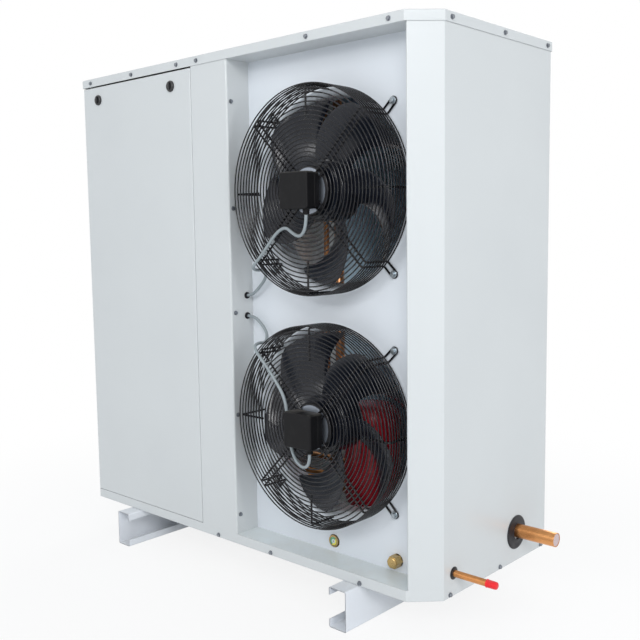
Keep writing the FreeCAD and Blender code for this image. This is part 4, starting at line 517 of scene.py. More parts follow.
def newPiece(name, shape, finish, node=None, body="chassis", sharp=32.0, sheet=None, bevel=None, turned=True):
    # sheet is a wall thickness, bevel an edge radius; turned makes the faces look outward
    mesh = bpy.data.meshes.new(name)
    mesh.from_pydata([tuple(v) for v in shape.verts], [], shape.faces)
    work = bmesh.new()
    work.from_mesh(mesh)
    bmesh.ops.remove_doubles(work, verts=work.verts, dist=mesher["merge"])
    if turned:
        bmesh.ops.recalc_face_normals(work, faces=work.faces)
    work.to_mesh(mesh)
    work.free()
    mesh.materials.append(finishes[finish])
    piece = bpy.data.objects.new(name, mesh)
    bpy.context.collection.objects.link(piece)
    if sheet:
        wall = piece.modifiers.new("wall", "SOLIDIFY")
        wall.thickness = sheet
        wall.offset = -1
        wall.use_even_offset = True
    if bevel:
        softEdge = piece.modifiers.new("softEdge", "BEVEL")
        softEdge.width = bevel
        softEdge.segments = mesher["bevelSegments"]
        softEdge.limit_method = "ANGLE"
        softEdge.angle_limit = math.radians(mesher["bevelAngle"])
        softEdge.harden_normals = True
    mesh.polygons.foreach_set("use_smooth", [True] * len(mesh.polygons))
    mesh.set_sharp_from_angle(angle=math.radians(sharp))
    piece.modifiers.new("evenShade", "WEIGHTED_NORMAL").keep_sharp = True
    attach(piece, body)
    if node:
        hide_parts(node)
    return piece


def fullTurn(steps):
    return [2 * math.pi * i / steps for i in range(steps)]


def quarterTurn(steps):
    return [math.pi / 2 * i / steps for i in range(steps + 1)]


def crossAxes(axis):
    axis = Vector(axis).normalized()
    helper = Vector((0, 0, 1)) if abs(axis.z) < 0.9 else Vector((1, 0, 0))
    first = helper.cross(axis).normalized()
    return axis, first, axis.cross(first)


def ringAt(centre, first, second, radius, steps):
    return [centre + (first * math.cos(a) + second * math.sin(a)) * radius for a in fullTurn(steps)]


def lathe(shape, profile, centre, axis, steps=64, caps=True):
    # profile: (along, radius); a radius of 0 closes the end
    axis, first, second = crossAxes(axis)
    shape.rings([ringAt(Vector(centre) + axis * along, first, second, max(radius, mesher["smallestRadius"]), steps)
                 for along, radius in profile], caps=caps)


def rod(shape, centre, axis, low, high, radius, steps):
    lathe(shape, [(low, 0), (low, radius), (high, radius), (high, 0)], centre, axis, steps)


def torus(shape, centre, axis, major, minor, around=128, across=8):
    axis, first, second = crossAxes(axis)
    rings = []
    for turn in fullTurn(around):
        out = first * math.cos(turn) + second * math.sin(turn)
        rings.append([Vector(centre) + out * (major + minor * math.cos(a)) + axis * (minor * math.sin(a))
                      for a in fullTurn(across)])
    shape.rings(rings, loop=True)


def cornerArc(before, corner, after, radius, steps, room=math.inf):
    # arc that rounds one corner of a route, made smaller where a run has no room for it
    come = (before - corner).normalized()
    leave = (after - corner).normalized()
    half = (math.pi - come.angle(leave)) / 2
    if half < mesher["straight"]:
        return []
    reach = min(room, radius * math.tan(half))
    radius = reach / math.tan(half)
    middle = corner + (come + leave).normalized() * math.hypot(radius, reach)
    first = corner + come * reach - middle
    last = corner + leave * reach - middle
    return [middle + first.lerp(last, i / steps).normalized() * radius for i in range(steps + 1)]


def bentPath(points, bend, steps=7):
    # corners of a route rounded by arcs of one radius
    points = [Vector(p) for p in points]
    path = [points[0]]
    for before, corner, after in zip(points, points[1:], points[2:]):
        room = mesher["runShare"] * min((before - corner).length, (after - corner).length)
        path += cornerArc(before, corner, after, bend, steps, room)
    return path + [points[-1]]


def sweep(shape, path, radius, sides=12):
    # round bar along a path of points
    side = crossAxes(path[1] - path[0])[1]
    rings = []
    for i, spot in enumerate(path):
        tangent = (path[min(i + 1, len(path) - 1)] - path[max(i - 1, 0)]).normalized()
        side = (side - tangent * side.dot(tangent)).normalized()
        rings.append(ringAt(spot, side, tangent.cross(side), radius, sides))
    shape.rings(rings, caps=True)


def cornersOf(loop):
    # each corner of a closed outline between its neighbours
    spots = [Vector(p) for p in loop]
    return zip(spots[-1:] + spots[:-1], spots, spots[1:] + spots[:1])


def insetLoop(loop, inset):
    # closed outline moved inward; the loop runs counter-clockwise
    moved = []
    for before, here, after in cornersOf(loop):
        come = (here - before).normalized()
        leave = (after - here).normalized()
        inA = Vector((-come.y, come.x))
        inB = Vector((-leave.y, leave.x))
        moved.append(here + (inA + inB) * (inset / (1 + inA.dot(inB))))
    return moved


def roundLoop(loop, radius, steps=4):
    return [spot for corner in cornersOf(loop) for spot in cornerArc(*corner, radius, steps)]


def pan(shape, loop, corner, profile, place):
    # folded pan: profile is (inset, depth) from the middle of its face outward and down
    rings = []
    for inset, depth in profile:
        outline = roundLoop(insetLoop(loop, inset), max(corner - inset, mesher["smallestCorner"]))
        rings.append([place(p.x, p.y, depth) for p in outline])
    start = len(shape.verts)
    shape.rings(rings)
    shape.faces.append(tuple(start + j for j in range(len(rings[0]))))


def quarterBend(bend, steps=4):
    # (inset, depth) of a bend from a face into a return
    return [(bend - bend * math.sin(a), bend - bend * math.cos(a)) for a in quarterTurn(steps)]


def boxed(shape, low, high):
    x0, y0, z0 = low
    x1, y1, z1 = high
    shape.add([(x0, y0, z0), (x1, y0, z0), (x1, y1, z0), (x0, y1, z0),
               (x0, y0, z1), (x1, y0, z1), (x1, y1, z1), (x0, y1, z1)],
              [(0, 3, 2, 1), (4, 5, 6, 7), (0, 1, 5, 4), (1, 2, 6, 5), (2, 3, 7, 6), (3, 0, 4, 7)])


def boxPiece(name, low, high, edge, finish, slot, node=None, body="chassis"):
    shape = Shape()
    boxed(shape, low, high)
    newPiece(name, shape, finish, node, body, bevel=edge)


def lathePiece(name, profile, centre, axis, steps, finish, node=None, body="chassis", sharp=32.0, caps=True):
    shape = Shape()
    lathe(shape, profile, centre, axis, steps, caps)
    newPiece(name, shape, finish, node, body, sharp)


def mid(low, high):
    return (low + high) / 2


def islands(node):
    # lowest and highest corners of each separate solid of a CAD node
    work = bmesh.new()
    work.from_mesh(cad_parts[node].data)
    bmesh.ops.remove_doubles(work, verts=work.verts, dist=mesher["merge"])
    seen = set()
    found = []
    for vert in work.verts:
        if vert in seen:
            continue
        stack = [vert]
        seen.add(vert)
        spots = []
        while stack:
            here = stack.pop()
            spots.append(here.co.copy())
            for edge in here.link_edges:
                other = edge.other_vert(here)
                if other not in seen:
                    seen.add(other)
                    stack.append(other)
        found.append([Vector([pick(s[i] for s in spots) for i in range(3)]) for pick in (min, max)])
    work.free()
    return found


def coat(finish, *names):
    # better material on CAD nodes that keep their shape
    for name in names:
        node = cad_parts[name]
        node.data.materials.clear()
        node.data.materials.append(finishes[finish])


# cabinet

cabinet = {"sheet": 0.0015, "cutX": 0.062, "cutY": 0.060, "proud": 0.002}
trayLow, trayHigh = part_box("base_tray")
coverLow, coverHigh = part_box("top_cover")
plateLow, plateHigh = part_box("fan_plate")
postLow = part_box("centre_post")[0]
sideLow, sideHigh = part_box("right_side_panel")
recessLeft, recessRight = (corner.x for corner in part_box("recess_ceiling"))
cabinetLoop = [(trayLow.x, trayLow.y), (trayHigh.x - cabinet["cutX"], trayLow.y),
               (trayHigh.x, trayLow.y + cabinet["cutY"]), (trayHigh.x, trayHigh.y), (trayLow.x, trayHigh.y)]


def foldedPan(name, node, loop, height, place, look, body="chassis"):
    shape = Shape()
    pan(shape, loop, look["corner"], quarterBend(look["bend"]) + [(0, height)], place)
    newPiece(name, shape, "cabinetPaint", node, body, sheet=cabinet["sheet"])


def buildCover(look):
    height = coverHigh.z - coverLow.z
    loop = insetLoop(cabinetLoop, -cabinet["proud"])
    foldedPan("coverShell", "top_cover", loop, height, lambda x, y, depth: (x, y, coverHigh.z - depth), look)
    # welded corner seams under the paint
    seams = Shape()
    for x, y in loop:
        inward = look["seamIn"] * Vector((-math.copysign(1, x), -math.copysign(1, y), 0))
        foot = Vector((x, y, coverLow.z + look["seamLift"])) + inward
        rod(seams, foot, (0, 0, 1), 0, height - look["seamShort"], look["seam"], 10)
    newPiece("coverSeams", seams, "cabinetPaint")


cover = {"bend": 0.003, "corner": 0.0024, "seam": 0.0009, "seamIn": 0.0013, "seamLift": 0.0005, "seamShort": 0.004}
buildCover(cover)


def buildTray(look):
    foldedPan("trayShell", "base_tray", cabinetLoop, trayHigh.z - trayLow.z,
              lambda x, y, depth: (x, y, trayLow.z + depth), look)
    wall = cabinet["sheet"]
    # the ledge's lighter paint is painted light against the recess shade
    boxPiece("trayLedge", (recessLeft - wall, trayLow.y + wall, trayHigh.z - wall),
             (recessRight + wall, plateLow.y + wall, trayHigh.z), look["ledgeEdge"], "trayPaint", "tray_paint")


tray = {"bend": 0.003, "corner": 0.003, "ledgeEdge": 0.0006}
buildTray(tray)


def foldedSheet(name, node, plan, bend):
    # upright sheet on a folded plan line, outer face to the right of its run
    low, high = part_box(node)
    line = bentPath([(x, y, 0) for x, y in plan], bend, 5)
    shape = Shape()
    shape.rings([[Vector((p.x, p.y, z)) for p in line] for z in (low.z, high.z)], closedRing=False)
    newPiece(name, shape, "cabinetPaint", node, sheet=cabinet["sheet"], turned=False)


post = {"panelWidth": 0.508, "jambDepth": 0.022, "bend": 0.0045}
postLeft = trayLow.x + post["panelWidth"]
jamb = postLow.y + post["jambDepth"]
foldedSheet("postSheet", "centre_post", [(postLow.x, jamb), (postLeft, jamb), (postLeft, postLow.y),
                                         (recessLeft, postLow.y), (recessLeft, plateLow.y)], post["bend"])

rightSide = {"rearReturn": 0.052, "bend": 0.003}
foldedSheet("rightSideSheet", "right_side_panel",
            [(recessRight, plateLow.y), (recessRight, sideLow.y), (sideHigh.x, sideLow.y + cabinet["cutY"]),
             (sideHigh.x, sideHigh.y), (sideHigh.x - rightSide["rearReturn"], sideHigh.y)], rightSide["bend"])

leftSide = {"bend": 0.003}
leftLow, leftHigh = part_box("left_side_panel")
foldedSheet("leftSideSheet", "left_side_panel", [(leftLow.x, leftHigh.y), (leftLow.x, leftLow.y),
                                                 (leftHigh.x, leftLow.y)], leftSide["bend"])

rearSheet = {"edge": 0.0006}
boxPiece("rearSheet", *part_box("rear_panel"), rearSheet["edge"], "cabinetPaint", "cabinet_paint", "rear_panel")
print("cabinet sheets folded")


# access panel and its locks

def buildAccessPanel(look):
    low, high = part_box("access_panel")
    loop = [(low.x, low.z), (high.x, low.z), (high.x, high.z), (low.x, high.z)]
    foldedPan("panelShell", "access_panel", loop, high.y - low.y, lambda x, z, depth: (x, low.y + depth, z), look,
              body="door")
    boxPiece("panelFoam", *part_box("panel_foam"), look["foamEdge"], "foamGrey", "foam", "panel_foam", "door")


accessPanel = {"bend": 0.0026, "corner": 0.0028, "foamEdge": 0.003}
buildAccessPanel(accessPanel)


def buildLock(node, body, look):
    low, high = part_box(node)
    front = trayLow.y
    centre = Vector((mid(low, high).x, front, low.z + look["headR"]))
    lathePiece(node + "Head", look["head"], centre, (0, 1, 0), 56, "lockBlack", node, body, 35)
    wide = look["gripW"] / 2
    boxPiece(node + "Grip", centre + Vector((-wide, -look["gripOut"], -look["gripH"])),
             centre + Vector((wide, -look["gripIn"], look["gripH"])), look["gripEdge"], "lockBlack", "lock_black",
             body=body)
    cam = Shape()
    rod(cam, centre, (0, 1, 0), -look["shaftOut"], high.y - front, look["shaftR"], 24)
    boxed(cam, (centre.x - look["camW"] / 2, high.y - look["camT"], centre.z - look["camW"] / 2),
          (centre.x + look["camW"] / 2, high.y, high.z))
    newPiece(node + "Cam", cam, "zincBright", body=body, bevel=look["camEdge"])


lock = {"headR": 0.015, "gripW": 0.0052, "gripH": 0.009765, "gripOut": 0.0108, "gripIn": 0.003, "gripEdge": 0.0013,
        "shaftR": 0.0055, "shaftOut": 0.001, "camW": 0.012, "camT": 0.003, "camEdge": 0.0006,
        "head": [(0, 0), (0, 0.015), (-0.003, 0.015), (-0.0042, 0.0144), (-0.0058, 0.0128), (-0.0062, 0.0111),
                 (-0.0062, 0.0105), (-0.0035, 0.0100), (-0.0035, 0)]}
for lockNode, lockBody in (("panel_lock_left", "lock_left"), ("panel_lock_right", "lock_right")):
    buildLock(lockNode, lockBody, lock)
print("access panel and locks")


# fan plate with its pressed nozzles

fanCentres = {}
for fanName in ("lower", "upper"):
    ringMiddle = mid(*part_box(fanName + "_guard_rings"))
    fanCentres[fanName] = Vector((ringMiddle.x, 0, ringMiddle.z))


def circle(centre, radius, y, steps):
    return [Vector((centre.x + radius * math.cos(a), y, centre.z + radius * math.sin(a))) for a in fullTurn(steps)]


def buildFanPlate(look):
    y = plateLow.y
    steps = look["steps"]
    roll = look["mouthR"] - look["throatR"]
    edgeR = look["mouthR"] + look["lip"]
    loops = [[Vector((x, y, z)) for x, z in ((recessLeft, trayHigh.z), (recessRight, trayHigh.z),
                                             (recessRight, plateHigh.z), (recessLeft, plateHigh.z))]]
    loops += [circle(centre, edgeR, y, steps) for centre in fanCentres.values()]
    for node in ("sight_glass_body", "service_valve_cap"):
        low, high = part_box(node)
        loops.append(circle(mid(low, high), (high.z - low.z) / 2 + look["holeGap"], y, 32))
    flat = [[Vector((p.x, p.z, 0)) for p in loop] for loop in loops]
    shape = Shape()
    shape.add([p for loop in loops for p in loop], tessellate_polygon(flat))
    for centre in fanCentres.values():
        rings = [(edgeR, 0), (look["mouthR"] + look["beadR"], -look["beadOut"])]
        rings += [(look["mouthR"] - roll * math.sin(a), roll * (1 - math.cos(a)) - look["mouthOut"])
                  for a in quarterTurn(8)]
        rings.append((look["throatR"], look["depth"]))
        shape.rings([circle(centre, radius, y + depth, steps) for radius, depth in rings])
    # the plate is painted lighter than the cabinet: painted light against the shade in the recess
    newPiece("fanPlateSheet", shape, "recessPaint", "fan_plate", sharp=40, sheet=cabinet["sheet"])


fanPlate = {"mouthR": 0.245, "throatR": 0.2285, "lip": 0.004, "depth": 0.062, "beadR": 0.001, "beadOut": 0.0012,
            "mouthOut": 0.0014, "holeGap": 0.002, "steps": 160}
buildFanPlate(fanPlate)
coat("cabinetPaint", "recess_ceiling")
print("fan plate pressed")


# fan guards

def buildGuardRings(name, centre, look):
    low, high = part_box(name + "_guard_rings")
    wire = look["wire"]
    shape = Shape()
    reach = (high.x - low.x) / 2 - wire
    frontY = low.y + wire
    step = (reach - look["innerR"]) / (look["frontRings"] - 1)
    for i in range(look["frontRings"]):
        torus(shape, (centre.x, frontY, centre.z), (0, 1, 0), look["innerR"] + i * step, wire)
    sideStep = (high.y - wire - frontY) / look["sideRings"]
    for i in range(look["sideRings"]):
        torus(shape, (centre.x, frontY + (i + 1) * sideStep, centre.z), (0, 1, 0), reach, wire)
    newPiece(name + "GuardRings", shape, "guardGloss", name + "_guard_rings", sharp=80)


def spokeAxes(turn):
    # outward direction of a spoke in degrees from +X, and the direction across it
    out = Vector((math.cos(math.radians(turn)), 0, math.sin(math.radians(turn))))
    return out, Vector((-out.z, 0, out.x))


def buildGuardSpokes(name, centre, look):
    low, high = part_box(name + "_guard_spokes")
    spoke = look["spoke"]
    front = Vector((0, low.y + spoke, 0))
    foot = Vector((0, high.y - spoke, 0))
    half = look["pairGap"] / 2
    screwR = look["screwOffset"] * math.sqrt(2)
    flat = math.sqrt(look["sideR"] ** 2 - half ** 2)
    shape = Shape()
    for turn in (45, 135, 225, 315):
        out, across = spokeAxes(turn)
        eye = centre + out * screwR + foot
        wires = []
        for sign in (-1, 1):
            shift = centre + across * (sign * half)
            wires.append([shift + out * look["motorR"] + front, shift + out * flat + front, shift + out * flat + foot,
                          shift + out * (screwR - look["eyeIn"]) + foot])
        # the two wires are one bent wire that loops round the screw
        loop = [eye + out * (half * math.sin(a)) + across * (half * math.cos(a))
                for a in (math.pi * i / 12 for i in range(13))]
        left, right = (bentPath(wire, look["bend"]) for wire in wires)
        sweep(shape, right + loop + left[::-1], spoke, 10)
    for turn in (0, 90, 180, 270):
        out = spokeAxes(turn)[0]
        wire = [centre + out * look["singleIn"] + front, centre + out * look["sideR"] + front,
                centre + out * look["sideR"] + foot]
        sweep(shape, bentPath(wire, look["bend"]), spoke, 10)
    newPiece(name + "GuardSpokes", shape, "guardGloss", name + "_guard_spokes", sharp=80)


guard = {"wire": 0.0017, "spoke": 0.0026, "innerR": 0.070, "frontRings": 18, "sideRings": 8, "sideR": 0.2436,
         "pairGap": 0.016, "bend": 0.006, "motorR": 0.034, "singleIn": 0.165, "screwOffset": 0.196, "eyeIn": 0.002}
for fanName, fanCentre in fanCentres.items():
    buildGuardRings(fanName, fanCentre, guard)
    buildGuardSpokes(fanName, fanCentre, guard)
print("fan guards bent")


# fan motors and impellers

def buildStator(name, centre, look):
    low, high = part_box(name + "_motor_stator")
    y = low.y
    shape = Shape()
    profile = look["face"] + [(high.y - y, look["shaftR"]), (high.y - y, 0)]
    lathe(shape, profile, (centre.x, y, centre.z), (0, 1, 0), 72)
    # cooling ribs on the flange rim
    lift = Vector((0, y + look["ribLift"], 0))
    deep = Vector((0, look["ribDeep"], 0))
    for a in fullTurn(look["ribs"]):
        out = Vector((math.cos(a), 0, math.sin(a)))
        across = Vector((-out.z, 0, out.x)) * look["ribT"] / 2
        near, far = (centre + out * radius + lift for radius in look["ribReach"])
        ring = [near - across, far - across, far + across, near + across]
        shape.rings([ring, [p + deep for p in ring]], caps=True)
    newPiece(name + "Stator", shape, "castSilver", name + "_motor_stator", sharp=35)


def buildRotor(name, centre, look):
    low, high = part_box(name + "_motor_rotor")
    r = (high.x - low.x) / 2
    long = high.y - low.y
    profile = [(look["boreDeep"], 0.0), (look["boreDeep"], look["boreR"]), (0, look["boreR"])]
    profile += [(along, r - less) for along, less in look["canFront"]]
    profile += [(long * look["canSplit"] + along, r - less) for along, less in look["canStep"]]
    profile += [(long - less, r - narrower) for less, narrower in look["canBack"]]
    profile += [(long - less, radius) for less, radius in look["dimple"]]
    lathePiece(name + "Rotor", profile, (centre.x, low.y, centre.z), (0, 1, 0), 72, "rotorBlack",
               name + "_motor_rotor", name + "_rotor", 35)


def bladeSkin(look):
    # middle surface of one sickle blade round the fan axis, hub to tip
    rows = []
    for i in range(look["rows"] + 1):
        share = i / look["rows"]
        radius, chord, pitch = (start + share * (end - start) for start, end in
                                (look["radius"], look["chord"], look["pitch"]))
        pitch = math.radians(pitch)
        lean = math.radians(look["sweep"]) * share ** look["sweepPower"]
        row = []
        for j in range(look["columns"] + 1):
            u = j / look["columns"] - 0.5
            trim = 1.0
            if share > look["tipFrom"]:
                # rounded tip corners
                trim -= look["tipTrim"] * ((share - look["tipFrom"]) / (1 - look["tipFrom"])) ** 2 * (2 * abs(u)) ** 3
            arc = u * chord * trim
            camber = look["camber"] * chord * (1 - (2 * u) ** 2)
            angle = lean + arc * math.cos(pitch) / radius
            depth = arc * math.sin(pitch) - camber * math.cos(pitch)
            row.append(Vector((radius * math.cos(angle), depth, -radius * math.sin(angle))))
        rows.append(row)
    return rows


def buildImpeller(name, centre, look):
    low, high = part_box(name + "_fan_impeller")
    middle = Vector((centre.x, mid(low, high).y, centre.z))
    half = (high.y - low.y) / 2
    r = look["sleeveR"]
    rootChord = look["chord"][0]
    rootPitch = math.radians(look["pitch"][0])
    rows = bladeSkin(look)
    blades = Shape()
    sleeve = Shape()
    lathe(sleeve, [(side * (half - less), r - narrower) for side, ends in ((-1, look["sleeveEnd"]),
                                                                           (1, look["sleeveEnd"][::-1]))
                   for less, narrower in ends], middle, (0, 1, 0), 72)
    for i in range(look["count"]):
        turn = Matrix.Rotation(math.radians(look["phase"][name]) + 2 * math.pi * i / look["count"], 3, "Y")
        blades.rings([[middle + turn @ p for p in row] for row in rows], closedRing=False)
        # root strap that rivets the blade to the sleeve
        strap = []
        for j in range(7):
            u = (j / 6 - 0.5) * rootChord * look["strapShare"]
            a = u * math.cos(rootPitch) / r
            strap.append([middle + turn @ Vector(((r + rise) * math.cos(a), u * math.sin(rootPitch) + depth,
                                                  -(r + rise) * math.sin(a))) for rise, depth in look["strap"]])
        sleeve.rings(strap, caps=True)
    piece = newPiece(name + "Blades", blades, "rotorBlack", name + "_fan_impeller", name + "_rotor", 70,
                     look["thick"])
    piece.modifiers["wall"].offset = 0
    newPiece(name + "Sleeve", sleeve, "rotorBlack", body=name + "_rotor", sharp=35)


motor = {"shaftR": 0.010, "ribs": 36, "ribT": 0.0016, "ribLift": 0.0008, "ribDeep": 0.012, "ribReach": (0.050, 0.0588),
         "face": [(0, 0), (0, 0.050), (0.0012, 0.052), (0.0012, 0.058), (0.0032, 0.060), (0.0105, 0.060),
                  (0.0125, 0.058), (0.016, 0.054), (0.016, 0.038), (0.020, 0.034), (0.030, 0.034), (0.030, 0.010)]}
# rotor can: (along, how much narrower), and from its back end (how much shorter, how much narrower or radius)
rotor = {"boreR": 0.01005, "boreDeep": 0.062, "canFront": [(0, 0.004), (0.0012, 0.0012), (0.004, 0)], "canSplit": 0.55,
         "canStep": [(0, 0), (0.002, 0.0015)], "canBack": [(0.010, 0.0015), (0.003, 0.005), (0, 0.012)],
         "dimple": [(0, 0.018), (0.003, 0.016), (0.003, 0)]}
# radius, chord and pitch run from the blade's root to its tip
impeller = {"count": 5, "rows": 16, "columns": 12, "radius": (0.0725, 0.2235), "chord": (0.088, 0.187),
            "pitch": (38, 19), "sweep": 34, "sweepPower": 1.6, "camber": 0.05, "tipFrom": 0.9, "tipTrim": 0.10,
            "thick": 0.0026, "sleeveR": 0.074, "sleeveEnd": [(0, 0.0038), (0, 0.001), (0.001, 0)],
            "strap": [(-0.001, -0.007), (0.0022, -0.006), (0.0022, 0.006), (-0.001, 0.007)], "strapShare": 0.86,
            "phase": {"upper": 67, "lower": 4}}
for fanName, fanCentre in fanCentres.items():
    buildStator(fanName, fanCentre, motor)
    buildRotor(fanName, fanCentre, rotor)
    buildImpeller(fanName, fanCentre, impeller)
print("motors and impellers")


# terminal boxes

def roundedBox(shape, low, high, radius, rimShare=0.6):
    # box with rounded edges along Y and a rounded front rim
    loop = [(low.x, low.z), (high.x, low.z), (high.x, high.z), (low.x, high.z)]
    profile = quarterBend(radius * rimShare) + [(0, high.y - low.y)]
    pan(shape, loop, radius, profile, lambda x, z, depth: (x, low.y + depth, z))
    shape.faces.append(tuple(len(shape.verts) - 1 - j for j in range(len(roundLoop(loop, radius)))))


def glandAt(name, centre, look):
    # where the lead leaves the terminal box
    return Vector((centre.x + look["wide"] / 4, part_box(name + "_terminal_box")[0].y + look["deep"] / 2,
                   centre.z - look["tall"] / 2))


def buildTerminalBox(name, centre, look):
    low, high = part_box(name + "_terminal_box")
    backY = low.y + look["deep"]
    split = low.y + look["lidDepth"]
    inset = look["bodyInset"]
    bottom = centre.z - look["tall"] / 2
    top = centre.z + look["tall"] / 2
    shape = Shape()
    roundedBox(shape, Vector((low.x, low.y, bottom)), Vector((high.x, split - look["lidGap"], top)), look["round"])
    roundedBox(shape, Vector((low.x + inset, split, bottom + inset)), Vector((high.x - inset, backY, top - inset)),
               look["round"])
    newPiece(name + "TerminalBox", shape, "boxBlack", name + "_terminal_box", sharp=35)
    screws = Shape()
    for sx in (-1, 1):
        for sz in (-1, 1):
            spot = Vector((centre.x + sx * (look["wide"] / 2 - look["screwIn"]), low.y,
                           centre.z + sz * (look["tall"] / 2 - look["screwIn"])))
            lathe(screws, look["screw"], spot, (0, 1, 0), 24)
    newPiece(name + "BoxScrews", screws, "zincBright")
    neck = Shape()
    rod(neck, (centre.x, backY, centre.z), (0, 1, 0), 0, high.y - backY, look["neckR"], 48)
    gland = glandAt(name, centre, look)
    neck.rings([ringAt(gland + Vector((0, 0, depth)), Vector((1, 0, 0)), Vector((0, 1, 0)), look["nutR"], 6)
                for depth in (0, -look["nutT"])], caps=True)
    lathe(neck, look["gland"], gland - Vector((0, 0, look["nutT"])), (0, 0, -1), 32)
    for spot in ringAt(gland - Vector((0, 0, look["gripDrop"])), Vector((1, 0, 0)), Vector((0, 1, 0)),
                       look["gripRing"], 16):
        rod(neck, spot, (0, 0, 1), 0, -look["gripLong"], look["gripR"], 8)
    newPiece(name + "GlandAndNeck", neck, "boxBlack", sharp=35)


terminalBox = {"wide": 0.090, "tall": 0.087, "deep": 0.043, "lidDepth": 0.027, "lidGap": 0.0006, "bodyInset": 0.0012,
               "round": 0.007, "screwIn": 0.010, "neckR": 0.034, "nutR": 0.0088, "nutT": 0.0045,
               "gripDrop": 0.0052, "gripRing": 0.0074, "gripR": 0.0007, "gripLong": 0.0055,
               "screw": [(0.002, 0), (0.002, 0.0042), (0.0002, 0.0042), (0.0002, 0.0034), (0.0012, 0.0030),
                         (0.0012, 0)],
               "gland": [(0, 0), (0, 0.0072), (0.004, 0.0076), (0.0075, 0.0074), (0.0085, 0.0052), (0.0085, 0)]}
for fanName, fanCentre in fanCentres.items():
    buildTerminalBox(fanName, fanCentre, terminalBox)


# leads, ties and grommets

leadLook = {"radius": 0.004, "front": trayLow.y, "glandDrops": (0.007, 0.0275), "grommetOut": 0.019, "wallIn": 0.008}
leadRoutes = {
    # millimetres from the fan's axis and the cabinet's front
    "upper": [(12, -30, -97), (-10, -24, -109), (-38, -20, -98), (-62, -16.3, -84), (-92, -16.3, -96),
              (-122, -16.3, -126), (-152, -16.3, -157), (-181, -19.5, -184), (-190, 4, -193),
              (-189, 34, -191), (-210, 58, -215), (-242, 57, -246)],
    "lower": [(10, -30, -92), (-16, -24, -97), (-42, -19, -82), (-56, -16.3, -56), (-64, -16.3, -26),
              (-68, -16.3, 8), (-70, -16.3, 40), (-80, -16.3, 72), (-106, -16.3, 104), (-136, -16.3, 136),
              (-182, -19.5, 183), (-190, 4, 192), (-189, 34, 190), (-210, 58, 213), (-242, 57, 244)],
}
grommetMiddles = sorted((mid(*corners) for corners in islands("lead_grommets")), key=lambda spot: spot.z)
wallSpots = [Vector((recessLeft, middle.y, middle.z)) for middle in grommetMiddles]


def smoothLine(name, points):
    # points along the NURBS line of a route
    data = bpy.data.curves.new(name, "CURVE")
    data.dimensions = "3D"
    data.resolution_u = 10
    spline = data.splines.new("NURBS")
    spline.points.add(len(points) - 1)
    for spot, target in zip(points, spline.points):
        target.co = (*spot, 1)
    spline.order_u = 3
    spline.use_endpoint_u = True
    curve = bpy.data.objects.new(name, data)
    bpy.context.collection.objects.link(curve)
    mesh = bpy.data.meshes.new_from_object(curve.evaluated_get(bpy.context.evaluated_depsgraph_get()))
    line = [v.co.copy() for v in mesh.vertices]
    bpy.data.objects.remove(curve)
    bpy.data.meshes.remove(mesh)
    return line


def buildLead(name, centre, wall, look):
    gland = glandAt(name, centre, terminalBox)
    points = [gland - Vector((0, 0, drop)) for drop in look["glandDrops"]]
    points += [Vector((centre.x + x / 1000, look["front"] + y / 1000, centre.z + z / 1000))
               for x, y, z in leadRoutes[name]]
    points += [wall + Vector((look["grommetOut"], 0, 0)), wall - Vector((look["wallIn"], 0, 0))]
    line = smoothLine(name + "LeadLine", points)
    shape = Shape()
    sweep(shape, line, look["radius"], 16)
    newPiece(name + "Lead", shape, "leadSheath", name + "_fan_lead", sharp=80)
    return line


def buildTie(shape, centre, turn, reach, line, look):
    # strap round the lead and the spoke wire behind it, with its locking head and cut tail
    along, across = spokeAxes(turn)
    across = -across
    lead = min(line, key=lambda spot: abs((spot - centre).dot(along) - reach)) - centre
    start = Vector((centre.x, 0, centre.z)) + along * reach
    held = [(lead.dot(across), lead.y, leadLook["radius"]), (look["wireAcross"], look["wireY"], look["wireR"])]
    half = look["width"] / 2
    rings = []
    for a in fullTurn(40):
        out = Vector((math.cos(a), math.sin(a)))
        x, y, r = max(held, key=lambda wire: out.x * wire[0] + out.y * wire[1] + wire[2])
        inner, outer = (start + across * (x + out.x * (r + gap)) + Vector((0, y + out.y * (r + gap), 0))
                        for gap in (look["gap"], look["gap"] + look["thick"]))
        rings.append([inner - along * half, outer - along * half, outer + along * half, inner + along * half])
    shape.rings(rings, loop=True)
    side = start + across * (lead.dot(across) - leadLook["radius"] - look["gap"]) + Vector((0, lead.y, 0))
    for spanOut, spanFront, wide in (look["head"], look["tail"]):
        corners = [side + across * u + Vector((0, v, 0)) + along * w
                   for u in spanOut for v in spanFront for w in (-wide, wide)]
        shape.add(corners, [(0, 1, 3, 2), (4, 6, 7, 5), (0, 4, 5, 1), (2, 3, 7, 6), (0, 2, 6, 4), (1, 5, 7, 3)])


# head and tail: reach beyond the strap, from front to back, half width
tie = {"width": 0.003, "thick": 0.001, "gap": 0.0003, "wireAcross": 0.008, "wireY": -0.26995, "wireR": 0.0026,
       "head": ((-0.0054, -0.0005), (-0.0029, 0.0029), 0.0027),
       "tail": ((-0.0032, -0.0021), (-0.0068, -0.0024), 0.0013),
       "turns": {"upper": 225, "lower": 135}, "rings": (8, 12), "ringStart": 0.070, "ringStep": (0.248 - 0.070) / 17,
       "edge": 0.0004}
ties = Shape()
for (fanName, fanCentre), wallSpot in zip(fanCentres.items(), wallSpots):
    leadLine = buildLead(fanName, fanCentre, wallSpot, leadLook)
    for ringIndex in tie["rings"]:
        tieReach = tie["ringStart"] + (ringIndex + 0.5) * tie["ringStep"]
        buildTie(ties, fanCentre, tie["turns"][fanName], tieReach, leadLine, tie)
newPiece("leadTies", ties, "tieNylon", "lead_ties", sharp=40, bevel=tie["edge"])


